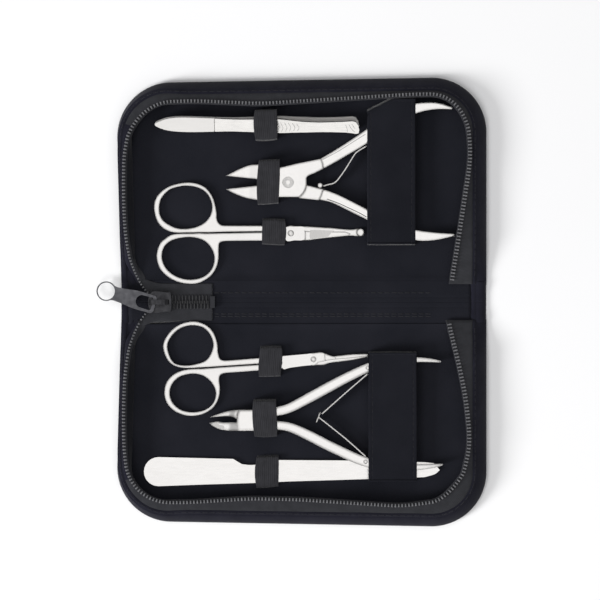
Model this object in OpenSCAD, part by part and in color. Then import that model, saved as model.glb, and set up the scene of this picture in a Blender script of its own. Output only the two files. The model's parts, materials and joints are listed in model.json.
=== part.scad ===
// Zippered manicure case, opened flat, with its six tools held in elastic loops and under straps.
// The spine's middle is at the origin, X runs along the spine, Y across it, and Z is up from the table.

/* [Case] */
// Length of the spine along X
case_w = 160.8; // [150:0.2:176]
// Depth of a half at its left edge, from the spine's middle
half_left = 96.3; // [92:0.1:110]
// Depth of a half at its right edge, from the spine's middle
half_right = 99.2; // [96:0.1:112]
// Width of the spine between its two fold lines
spine_w = 14.8; // [14:0.1:18]
// Radius of the outer corners
corner_r = 20; // [14:1:26]
// How far the left edge bulges out at the outer corner
left_bulge = 2.4; // [0:0.1:4]
// Thickness of the cover sheet
cover_t = 0.5; // [0.4:0.1:0.6]
// Thickness of the stiffener board
board_t = 0.5; // [0.4:0.1:0.8]
// Thickness of the lining
lining_t = 0.3; // [0.2:0.1:0.5]
// Gap left at the mid plane when the case is closed
closing_gap = 0.3; // [0.2:0.1:0.6]

/* [Zip] */
// Distance from one tooth to the next
tooth_pitch = 1.5; // [1.3:0.1:2]
// Width of a tooth across the tape
tooth_reach = 2; // [1.6:0.1:2.4]
// Thickness of a tooth
tooth_t = 1; // [0.8:0.1:1.1]
// Thickness of the woven tape
tape_t = 0.4; // [0.3:0.1:0.5]
// Angle of the pull away from the spine
pull_yaw = 16; // [0:1:16]
// Radius of the eye in the pull
eye_r = 3.8; // [2.5:0.1:3.8]

/* [Holders] */
// Thickness of the elastic loops
elastic_t = 0.6; // [0.4:0.1:0.7]
// Thickness of the velvet straps
strap_t = 0.7; // [0.5:0.1:0.9]
// Width of the handle straps
strap_w = 21.2; // [16:0.2:24]

/* [Scissors] */
// Thickness of the scissors
scissor_t = 1.5; // [1.2:0.1:1.6]
// Radius of the scissors' screws
scissor_screw_r = 0.9; // [0.7:0.1:1.1]
// Radius of the ball on the safety scissors' tip
ball_r = 1.7; // [1.4:0.1:2]

/* [Nippers] */
// Thickness of the nippers at their lap joint
nipper_t = 5; // [4.4:0.1:5]
// Thickness of the nippers' handles
handle_t = 2.6; // [2:0.1:2.8]
// Radius of the pivot pins
nipper_pin_r = 1.3; // [1:0.1:1.5]
// Radius of the nail nippers' lap joint
nail_lap_r = 8.1; // [7.4:0.1:8.3]
// Reach of the cuticle nippers' lap joint towards their jaws
cuticle_lap_r = 11; // [10:0.1:11.4]
// Opening angle between the nail nippers' jaws
nail_gap = 12.4; // [10:0.2:13]
// Opening angle between the cuticle nippers' jaws
cuticle_gap = 6; // [4:0.2:7]

/* [Tweezers] */
// Width of the tweezers' arms
tweezer_w = 6.6; // [5.8:0.1:6.8]
// Thickness of each arm
tweezer_t = 0.7; // [0.5:0.1:0.8]
// Gap between the tips
tweezer_gap = 3.4; // [2.4:0.1:3.4]
// Roll of the tweezers about their own length
tweezer_roll = 32; // [24:1:33]

/* [File] */
// Thickness of the file
file_t = 1; // [0.8:0.1:1.1]

/* [Hidden] */
$fn = 48;

left_x = -79.1;
right_x = left_x + case_w;
fold = spine_w / 2;
fold_gap = 0.15;
panel_z = cover_t + board_t + lining_t;
tool_z = panel_z + 0.1;
mid_plane = panel_z + fold;
teeth_top = mid_plane - closing_gap / 2;
fit_gap = 0.05;
lap_gap = 0.04;

velvet = [0.13, 0.13, 0.15];
leather = [0.15, 0.15, 0.18];
elastic = [0.23, 0.23, 0.25];
tape_grey = [0.27, 0.27, 0.29];
gunmetal = [0.4, 0.4, 0.42];
steel = [0.82, 0.82, 0.84];

// Where each tool's pivot or middle lies on the open case
ball_scissor_at = [-4.4, fold + 22.9];
cuticle_scissor_at = [5.5, -fold - 17.8];
nail_nipper_at = [-5.6, fold + 45.2];
cuticle_nipper_at = [-17.1, -fold - 44.5];
tweezer_at = [0, fold + 70.8];
file_at = [0, 8 - fold];
cuticle_scissor_tilt = 3.6;

// Outline of a half, followed from the left end of its fold line round to the right end
outline_corners = [
    [left_x, fold], [left_x - left_bulge, half_left], [right_x, half_right], [right_x, fold]
];
function unit(v) = v / norm(v);
function heading(i) =
    let (v = outline_corners[i + 1] - outline_corners[i]) atan2(v[1], v[0]);
function inward(h) = [sin(h), -cos(h)];
function ahead(h) = [cos(h), sin(h)];
headings = [for (i = [0:2]) heading(i)];
turns = [headings[0] - headings[1], headings[1] - headings[2]];
cuts = [for (t = turns) corner_r * tan(t / 2)];
sides = [for (i = [0:2]) norm(outline_corners[i + 1] - outline_corners[i])];
run_1 = sides[0] - cuts[0];
arc_1 = corner_r * turns[0] * PI / 180;
run_2 = sides[1] - cuts[0] - cuts[1];
arc_2 = corner_r * turns[1] * PI / 180;
run_3 = sides[2] - cuts[1];
end_1 = run_1 + arc_1;
end_2 = end_1 + run_2;
end_3 = end_2 + arc_2;
edge_len = end_3 + run_3;

function on_arc(start, h, d) =
    let (turned = h - d / corner_r * 180 / PI)
    [start + corner_r * (inward(h) - inward(turned)), turned];
// Place and heading at a distance along the outline
function edge_at(d) =
    let (p1 = outline_corners[0] + run_1 * ahead(headings[0]))
    let (p2 = on_arc(p1, headings[0], arc_1)[0])
    let (p3 = p2 + run_2 * ahead(headings[1]))
    let (p4 = on_arc(p3, headings[1], arc_2)[0])
    d < run_1 ? [outline_corners[0] + d * ahead(headings[0]), headings[0]] :
    d < end_1 ? on_arc(p1, headings[0], d - run_1) :
    d < end_2 ? [p2 + (d - end_1) * ahead(headings[1]), headings[1]] :
    d < end_3 ? on_arc(p3, headings[1], d - end_2) :
    [p4 + (d - end_3) * ahead(headings[2]), headings[2]];
// The same place moved inward from the outline
function inset_at(d, inset) = let (e = edge_at(d)) e[0] + inset * inward(e[1]);

// How the rim, the tape and the teeth lie in from the outline, along its length
left_wall_start = 4.6;
right_wall_start = 0.4;
function rim_inset(d) =
    lookup(d, [[0, 2.4], [run_1 - 6, 2.4], [end_1 + 8, 5.7], [end_2, 5.9], [end_3, 6.3]]);
function foot_inset(d) = lookup(d, [[0, 6.3], [run_1, 6.3], [end_1, 6.6], [end_2, 6.8], [end_3, 7]]);
function teeth_inset(d) = lookup(d, [
    [0, 8.8], [6, 6], [12.5, 4], [23, 2.6], [33, 2.1], [run_1 - 12, 2.2], [run_1, 3.2],
    [end_1 - 8, 6.4], [end_1 + 8, 8.6], [end_1 + 40, 10.6], [end_1 + 75, 10.6],
    [end_2 - 16, 9.2], [end_2, 8.4], [end_3 - 10, 7.3], [end_3 + 12, 7.6],
    [edge_len - 43, 9.2], [edge_len - 33, 11], [edge_len - 20, 13.4], [edge_len - 9, 15.8],
    [edge_len, 16.4]
]);
rim_top = mid_plane - 2.1;
function rim_z(d) = lookup(d, [
    [0, panel_z + 0.3], [left_wall_start, panel_z + 0.5], [20.5, rim_top],
    [edge_len - 17, rim_top], [edge_len - right_wall_start, panel_z + 1.2]
]);
function teeth_z(d) = lookup(d, [
    [0, panel_z + 0.6], [4.5, panel_z + 0.9], [16, teeth_top - tooth_t - 0.8],
    [24, teeth_top - tooth_t], [edge_len - 24, teeth_top - tooth_t],
    [edge_len - 14, teeth_top - tooth_t - 1.2], [edge_len, panel_z + 1.4]
]);

straight_step = 7;
arc_step = 1.9;
function spread(from, to, step) =
    let (n = ceil((to - from) / step)) [for (i = [0:n - 1]) from + (to - from) * i / n];
function stations(from, to) = concat(
    spread(from, run_1, straight_step / 2), spread(run_1, end_1, arc_step),
    spread(end_1, end_2, straight_step), spread(end_2, end_3, arc_step),
    spread(end_3, to, straight_step / 2), [to]
);

// A closed skin through rings of equal point count, with flat ends
module skin(rings) {
    n = len(rings);
    m = len(rings[0]);
    points = [for (r = rings) each r];
    walls = [for (i = [0:n - 2], j = [0:m - 1])
        let (a = i * m + j, b = i * m + (j + 1) % m)
        each [[a, b, b + m], [a, b + m, a + m]]];
    start_cap = [for (j = [m - 1:-1:0]) j];
    end_cap = [for (j = [0:m - 1]) (n - 1) * m + j];
    polyhedron(points, concat(walls, [start_cap, end_cap]));
}

// Points of a closed outline turned into a smooth curve through them
function smooth(pts, n) = let (m = len(pts)) [
    for (i = [0:m - 1], k = [0:n - 1])
        let (t = k / n, a = pts[(i + m - 1) % m], b = pts[i], c = pts[(i + 1) % m], e = pts[(i + 2) % m])
        0.5 * (2 * b + (c - a) * t + (2 * a - 5 * b + 4 * c - e) * t * t
            + (3 * b - a - 3 * c + e) * t * t * t)
];
// Points of an open curve through the given points
function curve(pts, n) = let (m = len(pts)) concat([
    for (i = [0:m - 2], k = [0:n - 1])
        let (t = k / n, b = pts[i], c = pts[i + 1])
        let (a = i == 0 ? 2 * b - c : pts[i - 1], e = i == m - 2 ? 2 * c - b : pts[i + 2])
        0.5 * (2 * b + (c - a) * t + (2 * a - 5 * b + 4 * c - e) * t * t
            + (3 * b - a - 3 * c + e) * t * t * t)
], [pts[m - 1]]);
// Outline of a band whose middle follows [x, y, width] points
function band(pts) = let (m = len(pts)) let (side = [
    for (i = [0:m - 1])
        let (p = pts[i], q = pts[max(i - 1, 0)], r = pts[min(i + 1, m - 1)])
        let (v = unit([r[0] - q[0], r[1] - q[1]]))
        [[p[0] - v[1] * p[2] / 2, p[1] + v[0] * p[2] / 2], [p[0] + v[1] * p[2] / 2, p[1] - v[0] * p[2] / 2]]
]) concat([for (s = side) s[0]], [for (i = [m - 1:-1:0]) side[i][1]]);
function oval(c, r, n = 40) = [for (i = [0:n - 1]) c + [r[0] * cos(i * 360 / n), r[1] * sin(i * 360 / n)]];

module slab(z0, z1) { translate([0, 0, z0]) linear_extrude(z1 - z0) children(); }
module at(p) { translate([p[0], p[1], 0]) children(); }

// Padded covers, boards and linings of the two halves
function panel_outline(inset, from_fold) = concat(
    [[left_x + inset, fold + from_fold]],
    [for (d = stations(left_wall_start, edge_len - 3)) inset_at(d, inset)],
    [[right_x - inset, fold + from_fold]]
);
function pocket_outline(from_fold) = concat(
    [[left_x + foot_inset(0), fold + from_fold]],
    [for (d = stations(left_wall_start, edge_len - 3)) inset_at(d, foot_inset(d))],
    [[right_x - foot_inset(edge_len), fold + from_fold]]
);
function wall_ring(d) = let (r = rim_inset(d), z = rim_z(d), f = foot_inset(d), z0 = cover_t - 0.1) [
    for (p = [
        [f, z0], [f, panel_z], [r + 0.1, z - 0.3], [r - 0.2, z], [r - 1.1, z], [r - 1.6, z - 0.35],
        [(r - 1.6) * 0.4, z0 + (z - z0) * 0.55], [0, z0 + 0.6], [0.1, z0]
    ]) let (q = inset_at(d, p[0])) [q[0], q[1], p[1]]
];
module half_cover() {
    slab(0, cover_t) polygon(panel_outline(0, fold_gap));
    skin([for (d = stations(left_wall_start, edge_len - right_wall_start)) wall_ring(d)]);
}
module half_board() { slab(cover_t, cover_t + board_t) polygon(pocket_outline(0.8)); }
module half_lining() { slab(cover_t + board_t, panel_z) polygon(pocket_outline(fold_gap)); }
module lower_cover() { color(leather) mirror([0, 1, 0]) half_cover(); }
module lower_board() { color("tan") mirror([0, 1, 0]) half_board(); }
module lower_lining() { color(velvet) mirror([0, 1, 0]) half_lining(); }
module upper_cover() { color(leather) half_cover(); }
module upper_board() { color("tan") half_board(); }
module upper_lining() { color(velvet) half_lining(); }

// Zip tape from the rim up to the teeth, and the rows of teeth
tape_start = 0.6;
function tape_ring(d) =
    let (r = rim_inset(d), t = teeth_inset(d) + 0.9, low = teeth_z(d) - tape_t - 0.12)
    let (sewn = lookup(d, [[0, t - 3.2], [left_wall_start + 1, t - 3.6], [12, r - 1.2], [edge_len, r - 1.2]]))
    let (inner = max(r, sewn + 0.6), over = max(0, rim_z(d) + 0.08 - low))
    let (z = rim_z(d) + 0.08 - over * lookup(d, [[5.6, 1], [8, 0]]))
    let (zt = low - max(0, z - low) / (t - inner) * 2.1)
    [for (p = [
        [sewn, z], [inner, z], [t, zt], [t, zt + tape_t], [inner, z + tape_t], [sewn, z + tape_t]
    ]) let (q = inset_at(d, p[0])) [q[0], q[1], p[1]]];
module half_tape() { skin([for (d = stations(tape_start, edge_len - tape_start)) tape_ring(d)]); }

teeth_stations = stations(tape_start, edge_len - tape_start);
teeth_line = [for (d = teeth_stations) let (q = inset_at(d, teeth_inset(d))) [q[0], q[1], teeth_z(d)]];
// Distance along the teeth line at each of its points
function running(pts, i = 0, sum = 0) = i == len(pts) ? [] :
    let (here = i == 0 ? 0 : sum + norm(pts[i] - pts[i - 1])) concat([here], running(pts, i + 1, here));
teeth_run = running(teeth_line);
line_table = [for (k = [0:2]) [for (i = [0:len(teeth_run) - 1]) [teeth_run[i], teeth_line[i][k]]]];
function line_at(s) = [for (k = [0:2]) lookup(s, line_table[k])];
line_len = teeth_run[len(teeth_run) - 1];
tooth_w = tooth_pitch * 0.52;
module tooth() {
    translate([-tooth_w / 2, -tooth_reach / 2, 0]) cube([tooth_w, tooth_reach, tooth_t]);
}
module half_teeth(shift) {
    for (s = [0.8 + shift:tooth_pitch:line_len - 0.8]) {
        p = line_at(s);
        v = line_at(s + 0.4) - line_at(s - 0.4);
        translate(p) rotate([0, -atan2(v[2], norm([v[0], v[1]])), atan2(v[1], v[0])]) tooth();
    }
}
module lower_zip_tape() { color(tape_grey) mirror([0, 1, 0]) half_tape(); }
module upper_zip_tape() { color(tape_grey) half_tape(); }
module lower_zip_teeth() { color(tape_grey) mirror([0, 1, 0]) half_teeth(tooth_pitch / 2); }
module upper_zip_teeth() { color(tape_grey) half_teeth(0); }

// Spine between the two fold lines
spine_half = fold - fold_gap;
module spine_cover() {
    color(leather) slab(0, cover_t)
        translate([left_x, -spine_half]) square([case_w, 2 * spine_half]);
}
module spine_board() {
    color("tan") slab(cover_t, cover_t + board_t)
        translate([left_x + 3, -spine_half + 1]) square([case_w - 6, 2 * spine_half - 2]);
}
module spine_lining() {
    color(velvet) slab(cover_t + board_t, panel_z)
        translate([left_x + 0.6, -spine_half]) square([case_w - 1.2, 2 * spine_half]);
}

// Joined length of the zip on the spine, its slider and its pull
joined_x0 = -65.8;
joined_x1 = -38.9;
slider_x0 = -67.2;
slider_x1 = -57.2;
chain_z = panel_z + tape_t;
module joined_zip_tape() {
    color(tape_grey) slab(panel_z, chain_z)
        translate([joined_x0, -spine_half + 0.35]) square([joined_x1 - joined_x0, 2 * spine_half - 0.7]);
}
joined_teeth = floor((joined_x1 - 2.5 - slider_x1) / (tooth_pitch / 2));
module joined_zip_teeth() {
    color(tape_grey) for (i = [0:joined_teeth])
        translate([slider_x1 + 0.6 + i * tooth_pitch / 2, (i % 2 == 0 ? 1 : -1) * 1.15, chain_z + 0.5])
            cube([tooth_w * 0.7, tooth_reach * 1.9, tooth_t], center = true);
}
module zip_bottom_stop() {
    color(gunmetal) slab(chain_z, chain_z + 1.3)
        translate([joined_x1 - 1, -2.6]) square([2, 5.2]);
}
slider_top = chain_z + 1.6;
slider_half = 4.7;
bridge_z = slider_top + 2.9;
module slider_outline() {
    polygon(smooth([
        [slider_x0, 0], [slider_x0 + 0.7, 3.2], [slider_x0 + 2.8, slider_half],
        [slider_x1 - 2, slider_half - 0.5], [slider_x1, slider_half - 1], [slider_x1, -slider_half + 1],
        [slider_x1 - 2, -slider_half + 0.5], [slider_x0 + 2.8, -slider_half], [slider_x0 + 0.7, -3.2]
    ], 4));
}
module bridge_profile() {
    // Side view of the arch that the pull hangs on, X to the right and Z up
    difference() {
        polygon([
            [slider_x0 + 0.3, slider_top - 0.2], [slider_x0 + 0.6, bridge_z - 0.9],
            [slider_x0 + 1.5, bridge_z - 0.1], [slider_x0 + 3.4, bridge_z + 0.1],
            [slider_x1 - 2.6, bridge_z - 0.3], [slider_x1 - 1.2, bridge_z - 1.2],
            [slider_x1 - 0.7, slider_top - 0.2]
        ]);
        polygon([
            [slider_x0 + 1.3, slider_top - 0.3], [slider_x0 + 1.4, bridge_z - 0.8],
            [slider_x1 - 2.6, bridge_z - 0.8], [slider_x1 - 2, slider_top - 0.3]
        ]);
    }
}
module zip_slider() {
    color(gunmetal) {
        difference() {
            slab(chain_z + 0.2, slider_top + 0.7) slider_outline();
            slab(chain_z, slider_top) translate([slider_x0 + 3.4, -3.7]) square([8, 7.4]);
            slab(chain_z, slider_top) for (s = [-1, 1])
                polygon([[slider_x0 - 1, s * 1.4], [slider_x0 + 3.5, s * 0.6], [slider_x0 + 3.5, s * 3.7],
                    [slider_x0 - 1, s * 4.1]]);
        }
        translate([0, 1.1, 0.7]) rotate([90, 0, 0]) linear_extrude(2.2) bridge_profile();
    }
}
pull_bar = [-64.7, -1.2, slider_top + 1.7];
pull_t = 1.3;
pull_dip = 2;
pull_eye = 21.7;
module pull_outline() {
    polygon(concat(
        curve([[-pull_eye + 2, 3.7], [-18, 3.1], [-14, 3.3], [-8.5, 4], [-3, 4]], 3),
        [for (a = [80:-20:0]) [-0.9 + 1.6 * cos(a), 2.4 + 1.6 * sin(a)]],
        [for (a = [0:-20:-80]) [-0.9 + 1.6 * cos(a), -2.4 + 1.6 * sin(a)]],
        curve([[-3, -4], [-8.5, -4], [-14, -3.3], [-18, -3.1], [-pull_eye + 2, -3.7]], 3)
    ));
}
module pull_window() {
    polygon(concat(
        [for (a = [0:22.5:90]) [-1.5 + 0.8 * cos(a), 2.1 + 0.8 * sin(a)]],
        [for (a = [110:20:250]) [-5.2 + 2.9 * cos(a), 2.9 * sin(a)]],
        [for (a = [270:22.5:360]) [-1.5 + 0.8 * cos(a), -2.1 + 0.8 * sin(a)]]
    ));
}
module zip_pull() {
    color(gunmetal) translate(pull_bar) rotate([0, 0, -pull_yaw]) rotate([0, -pull_dip, 0])
        translate([0, 0, -pull_t / 2]) difference() {
            union() {
                translate([-pull_eye, 0, 0]) cylinder(r = 4.3, h = pull_t, $fn = 60);
                linear_extrude(pull_t) pull_outline();
            }
            translate([-pull_eye, 0, -1]) cylinder(r = eye_r, h = pull_t + 2, $fn = 60);
            translate([0, 0, -1]) linear_extrude(pull_t + 2) pull_window();
        }
}

// An elastic loop or strap: an arch from the lining over a tool, X wide and Y long
function arch(y0, y1, top, t, lean) = concat(
    [[y0, panel_z + 0.02], [y0 + lean * 0.25, top - 1.1], [y0 + lean, top - 0.15], [y0 + lean + 1, top],
     [y1 - lean - 1, top], [y1 - lean, top - 0.15], [y1 - lean * 0.25, top - 1.1], [y1, panel_z + 0.02]],
    [[y1 - t, panel_z + 0.02], [y1 - t - lean * 0.25, top - 1.1 - t * 0.4], [y1 - t - lean, top - t],
     [y0 + t + lean, top - t], [y0 + t + lean * 0.25, top - 1.1 - t * 0.4], [y0 + t, panel_z + 0.02]]
);
module loop(x, middle, y, top, lean = 0.6) {
    color(elastic) translate([x[0], middle, 0]) rotate([90, 0, 90]) linear_extrude(x[1] - x[0])
        polygon(arch(y[0], y[1], top, elastic_t, lean));
}
scissor_top = tool_z + scissor_t + 0.3 + elastic_t;
nipper_top = tool_z + nipper_t + 0.3 + elastic_t;
module tweezer_loop() { loop([-20.7, -9.8], tweezer_at[1], [-7, 6.5], 9.1, 0.9); }
module nail_nipper_loop() { loop([-19.4, -8.9], nail_nipper_at[1], [-9.7, 9.7], nipper_top, 0.5); }
module ball_scissor_loop() { loop([-17.6, -6.4], ball_scissor_at[1], [-5.3, 5.9], scissor_top); }
module cuticle_scissor_loop() { loop([-18.8, -8], cuticle_scissor_at[1], [-7.9, 5.3], scissor_top); }
module cuticle_nipper_loop() { loop([-21.3, -10], cuticle_nipper_at[1], [-7.2, 8.9], nipper_top, 0.7); }
module file_loop() { loop([-20.2, -9.2], file_at[1], [-82.2, -68.6], tool_z + file_t + 0.3 + elastic_t, 0.4); }

// The wide straps over the nippers' handles, with a slanted outer end on the upper one
handle_top = tool_z + nipper_t / 2 + handle_t / 2;
strap_top = handle_top + 0.35 + strap_t;
module strap(x0, y0, y1, lean) {
    color(velvet) translate([x0, 0, 0]) rotate([90, 0, 90]) linear_extrude(strap_w)
        polygon(arch(y0, y1, strap_top, strap_t, lean));
}
module upper_handle_strap() {
    difference() {
        strap(29.2, fold + 17.7, fold + 83, 1.4);
        color(velvet) slab(0, 20) polygon([[28, fold + 76.6], [28, fold + 84.6], [44, fold + 84.6]]);
    }
}
module lower_handle_strap() { strap(29.8, -fold - 71.3, -fold - 14.6, 0.5); }

// Scissors, closed at rest: each half is full thickness at its ring and half thickness at its blade
scissor_mid = tool_z + scissor_t / 2;
module scissor(ring, hole, shank, blade, top, boss) {
    own = top ? [scissor_mid + lap_gap / 2, tool_z + scissor_t] : [tool_z, scissor_mid - lap_gap / 2];
    thin = top ? [own[0], own[1] - 0.2] : [own[0] + 0.15, own[1]];
    other = top ? [tool_z - 1, scissor_mid + lap_gap / 2] : [scissor_mid - lap_gap / 2, tool_z + scissor_t + 1];
    difference() {
        union() {
            slab(tool_z, tool_z + scissor_t) {
                polygon(smooth(ring, 4));
                polygon(shank);
            }
            slab(own[0], own[1]) {
                circle(r = boss);
                intersection() {
                    polygon(blade);
                    translate([-3, -4]) square([3 + boss * 1.9, 8]);
                }
            }
            slab(thin[0], thin[1]) polygon(blade);
        }
        slab(other[0], other[1]) circle(r = boss + 0.25);
        slab(0, 10) polygon(smooth(hole, 4));
        translate([0, 0, -1]) cylinder(r = scissor_screw_r + fit_gap, h = 12);
    }
}
module scissor_screw(head_r) {
    color(steel) {
        translate([0, 0, tool_z + 0.02]) cylinder(r = scissor_screw_r, h = scissor_t);
        difference() {
            translate([0, 0, tool_z + scissor_t + 0.02]) cylinder(r = head_r, h = 0.35);
            translate([0, 0, tool_z + scissor_t + 0.45]) rotate([0, 0, 35])
                cube([head_r * 3, 0.35, 0.4], center = true);
        }
    }
}
ball_boss = 3.3;
ball_len = 29.4;
module ball_scissor_blade() {
    color(steel) at(ball_scissor_at) {
        scissor([[-51.7, -0.5], [-55.2, -2.4], [-57.8, -5], [-59.1, -9.8], [-58, -14.7], [-55.6, -17.9],
                [-51.5, -20.7], [-46, -22.1], [-40.5, -21.8], [-35.7, -19.1], [-32.9, -15.2], [-31.8, -10],
                [-32.6, -4], [-37, -0.4], [-44, -0.2]],
            [[-46.6, -1.7], [-41.9, -1.9], [-37.8, -3.5], [-34.8, -6.8], [-33.6, -11], [-34.8, -15.8],
                [-38.6, -19.3], [-44.4, -20.5], [-50, -19.3], [-54.6, -16], [-56.8, -11], [-55.8, -6],
                [-52.2, -3]],
            concat([[-44, -0.2], [-38, -0.2], [-30, 0], [-14, 0.3], [-4, 0.3], [-1.5, -1], [-3, -3.1], [-13, -3.2]],
                curve([[-28, -3.3], [-30.4, -3.6], [-31.6, -4.6], [-31.8, -7]], 3), [[-34, -9], [-38, -4]]),
            concat([[-2, -1], [-3, 1.6], [-1, 3.2], [6, 3]],
                curve([[18, 2.3], [23, 1.8], [ball_len - 2.6, 1.6], [ball_len - 0.6, 1.9], [ball_len + 0.4, 2.1]], 3),
                curve([[ball_len + 0.4, -1.3], [ball_len - 0.6, -1.2], [ball_len - 2.6, -1], [20, -1]], 3),
                [[8, -0.8], [2, -1.6]]), false, ball_boss);
        translate([ball_len + 1.3, 0.4, 0]) intersection() {
            translate([0, 0, scissor_mid]) sphere(r = ball_r);
            slab(tool_z, tool_z + scissor_t) square(6, center = true);
        }
    }
}
module ball_scissor_moving_blade() {
    color(steel) at(ball_scissor_at)
        scissor([[-60.2, 11.3], [-59, 16], [-54.8, 19.9], [-49.5, 21.8], [-43.5, 22.2], [-38.2, 20.4],
                [-34.9, 16.6], [-33.2, 11.6], [-32.8, 6.5], [-35, 2], [-40, 0.6], [-46, 0.4], [-52, 0.5],
                [-56.2, 2.3], [-59, 5.8]],
            [[-58, 11.3], [-57, 15.4], [-53.4, 19.2], [-47.8, 20.9], [-43, 20.7], [-38.6, 19], [-35.8, 15.9],
                [-34.6, 11.6], [-35.6, 7.4], [-38.8, 4], [-44, 2.1], [-50, 2.1], [-55.2, 4.6], [-57.5, 7.6]],
            concat([[-44, 0.5], [-36, 0.5], [-30, 0.7], [-14, 0.95], [-4, 0.95], [-1.5, 1.6], [-3, 3.1], [-13, 3.25]],
                curve([[-28, 3.3], [-30.6, 3.5], [-32.1, 4.8], [-32.8, 7]], 3), [[-35, 9], [-40, 4]]),
            [[-2, 1], [-3, -1.6], [-1, -3.1], [7.8, -3], [12.9, -2.3], [20.5, -1.5], [25.6, -1], [26.4, -0.2],
             [24, 0.7], [8, 0.9], [2, 1.6]], true, ball_boss);
}
module ball_scissor_screw() { at(ball_scissor_at) scissor_screw(1.4); }

cuticle_boss = 2.7;
module cuticle_scissor_blade() {
    color(steel) at(cuticle_scissor_at) rotate([0, 0, cuticle_scissor_tilt])
        scissor([[-65.6, 8.6], [-65, 12], [-62.2, 15.9], [-57.6, 19], [-51.8, 19.9], [-47, 18.4],
                [-43.8, 15.4], [-42.1, 11.1], [-41.8, 6], [-43.4, 1.6], [-48, 0], [-54, -0.4], [-60, 0.5],
                [-63.8, 3.4]],
            [[-63.9, 9.4], [-61.8, 14], [-57.7, 17.3], [-52.6, 18.4], [-47.8, 17.2], [-44.8, 14], [-43.5, 9.5],
                [-44.8, 5.2], [-47.6, 2.2], [-52.7, 0.9], [-57.9, 0.9], [-62, 2.9]],
            concat([[-52, -0.35], [-46, -0.45], [-40, -0.4], [-24, -0.35], [-4, -0.3], [-1, 0.6], [-2.6, 2.5],
                [-10, 2.4], [-24, 2]], curve([[-36, 1.8], [-39.4, 1.9], [-41.2, 3], [-41.8, 6]], 3),
                [[-44, 7], [-48, 2]]),
            [[-2, 1], [-2.6, -1.4], [-1, -2.6], [4.6, -2.7], [6.6, -2.2], [8.7, -1.9], [11, -1.8], [17.5, -1.4],
             [24, -0.4], [24, 0.4], [16, 0.3], [8, 0.3], [2, 1.6]], false, cuticle_boss);
}
module cuticle_scissor_moving_blade() {
    color(steel) at(cuticle_scissor_at) rotate([0, 0, cuticle_scissor_tilt])
        scissor([[-57.2, -1.2], [-62.3, -3.2], [-65.4, -6.7], [-66.4, -11.2], [-65.2, -15.8], [-61.5, -19.5],
                [-55.9, -21.4], [-50.2, -21], [-45.7, -18.7], [-42.9, -14.9], [-41.9, -10.4], [-42.3, -6],
                [-44, -2], [-50, -1.1]],
            [[-64.1, -11.2], [-62.8, -7], [-59.1, -3.9], [-53.5, -2.9], [-48.6, -4.3], [-45, -7.9],
                [-43.7, -12.4], [-45.4, -16.8], [-49.1, -19.3], [-54.1, -20], [-59.3, -18.8], [-63, -15.4]],
            concat([[-54, -1.2], [-46, -1.1], [-40, -1], [-24, -0.95], [-4, -0.9], [-1, -1.5], [-2.6, -2.6],
                [-10, -2.9], [-24, -3.4]], curve([[-36, -3.5], [-39.6, -3.6], [-41.6, -4.7], [-42.1, -7.4]], 3),
                [[-44, -8], [-48, -3.4]]),
            [[-2, -1], [-2.6, 1.4], [-1, 2.6], [3.2, 2.9], [4.6, 2.6], [6.7, 1.5], [8.8, 0.7], [11, 0.8],
             [17.7, 1.1], [24.1, 0.8], [24.1, -0.1], [16, -0.6], [8, -0.7], [2, -1.6]], true, cuticle_boss);
}
module cuticle_scissor_screw() {
    at(cuticle_scissor_at) scissor_screw(1.2);
}

// Nippers, open at rest: two crossed levers whose lap discs share one pin
nipper_mid = tool_z + nipper_t / 2;
module lap(r, half_w, right) {
    intersection() {
        circle(r = r, $fn = 72);
        translate([-r - 1, -half_w]) square([r + 1 + right, 2 * half_w]);
    }
}
module lever_layers(lap_r, half_w, right, top) {
    // Cuts the other lever's lap out of this one, and leaves its own half of it
    own = top ? [nipper_mid + lap_gap / 2, tool_z + nipper_t] : [tool_z, nipper_mid - lap_gap / 2];
    other = top ? [tool_z - 1, nipper_mid + lap_gap / 2] : [nipper_mid - lap_gap / 2, tool_z + nipper_t + 1];
    difference() {
        union() {
            children();
            slab(own[0], own[1]) lap(lap_r, half_w, right);
        }
        slab(other[0], other[1]) lap(lap_r + 0.2, 40, right + 0.2);
        translate([0, 0, -1]) cylinder(r = nipper_pin_r + fit_gap, h = 14);
    }
}
// Side view that thins a jaw towards its tip: X along the jaw, Z up
module jaw_side(reach, tip_t, root_x) {
    polygon([
        [-reach - 1, nipper_mid - tip_t / 2], [-reach * 0.62, nipper_mid - tip_t / 2],
        [-root_x, tool_z], [2, tool_z], [2, tool_z + nipper_t], [-root_x, tool_z + nipper_t],
        [-reach * 0.62, nipper_mid + tip_t / 2], [-reach - 1, nipper_mid + tip_t / 2]
    ]);
}
module jaw(outline, reach, tip_t, root_x) {
    intersection() {
        slab(tool_z, tool_z + nipper_t) polygon(outline);
        translate([0, 40, 0]) rotate([90, 0, 0]) linear_extrude(80) jaw_side(reach, tip_t, root_x);
    }
}
module handle(points) {
    slab(nipper_mid - handle_t / 2, nipper_mid + handle_t / 2)
        polygon(band([for (p = curve(points, 4)) p]));
}
module nipper_pin(head_r) {
    color(steel) {
        translate([0, 0, tool_z + 0.1]) cylinder(r = nipper_pin_r, h = nipper_t);
        translate([0, 0, tool_z + nipper_t + 0.02]) cylinder(r = head_r, h = 0.2);
    }
}
nail_reach = 27.4;
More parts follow.
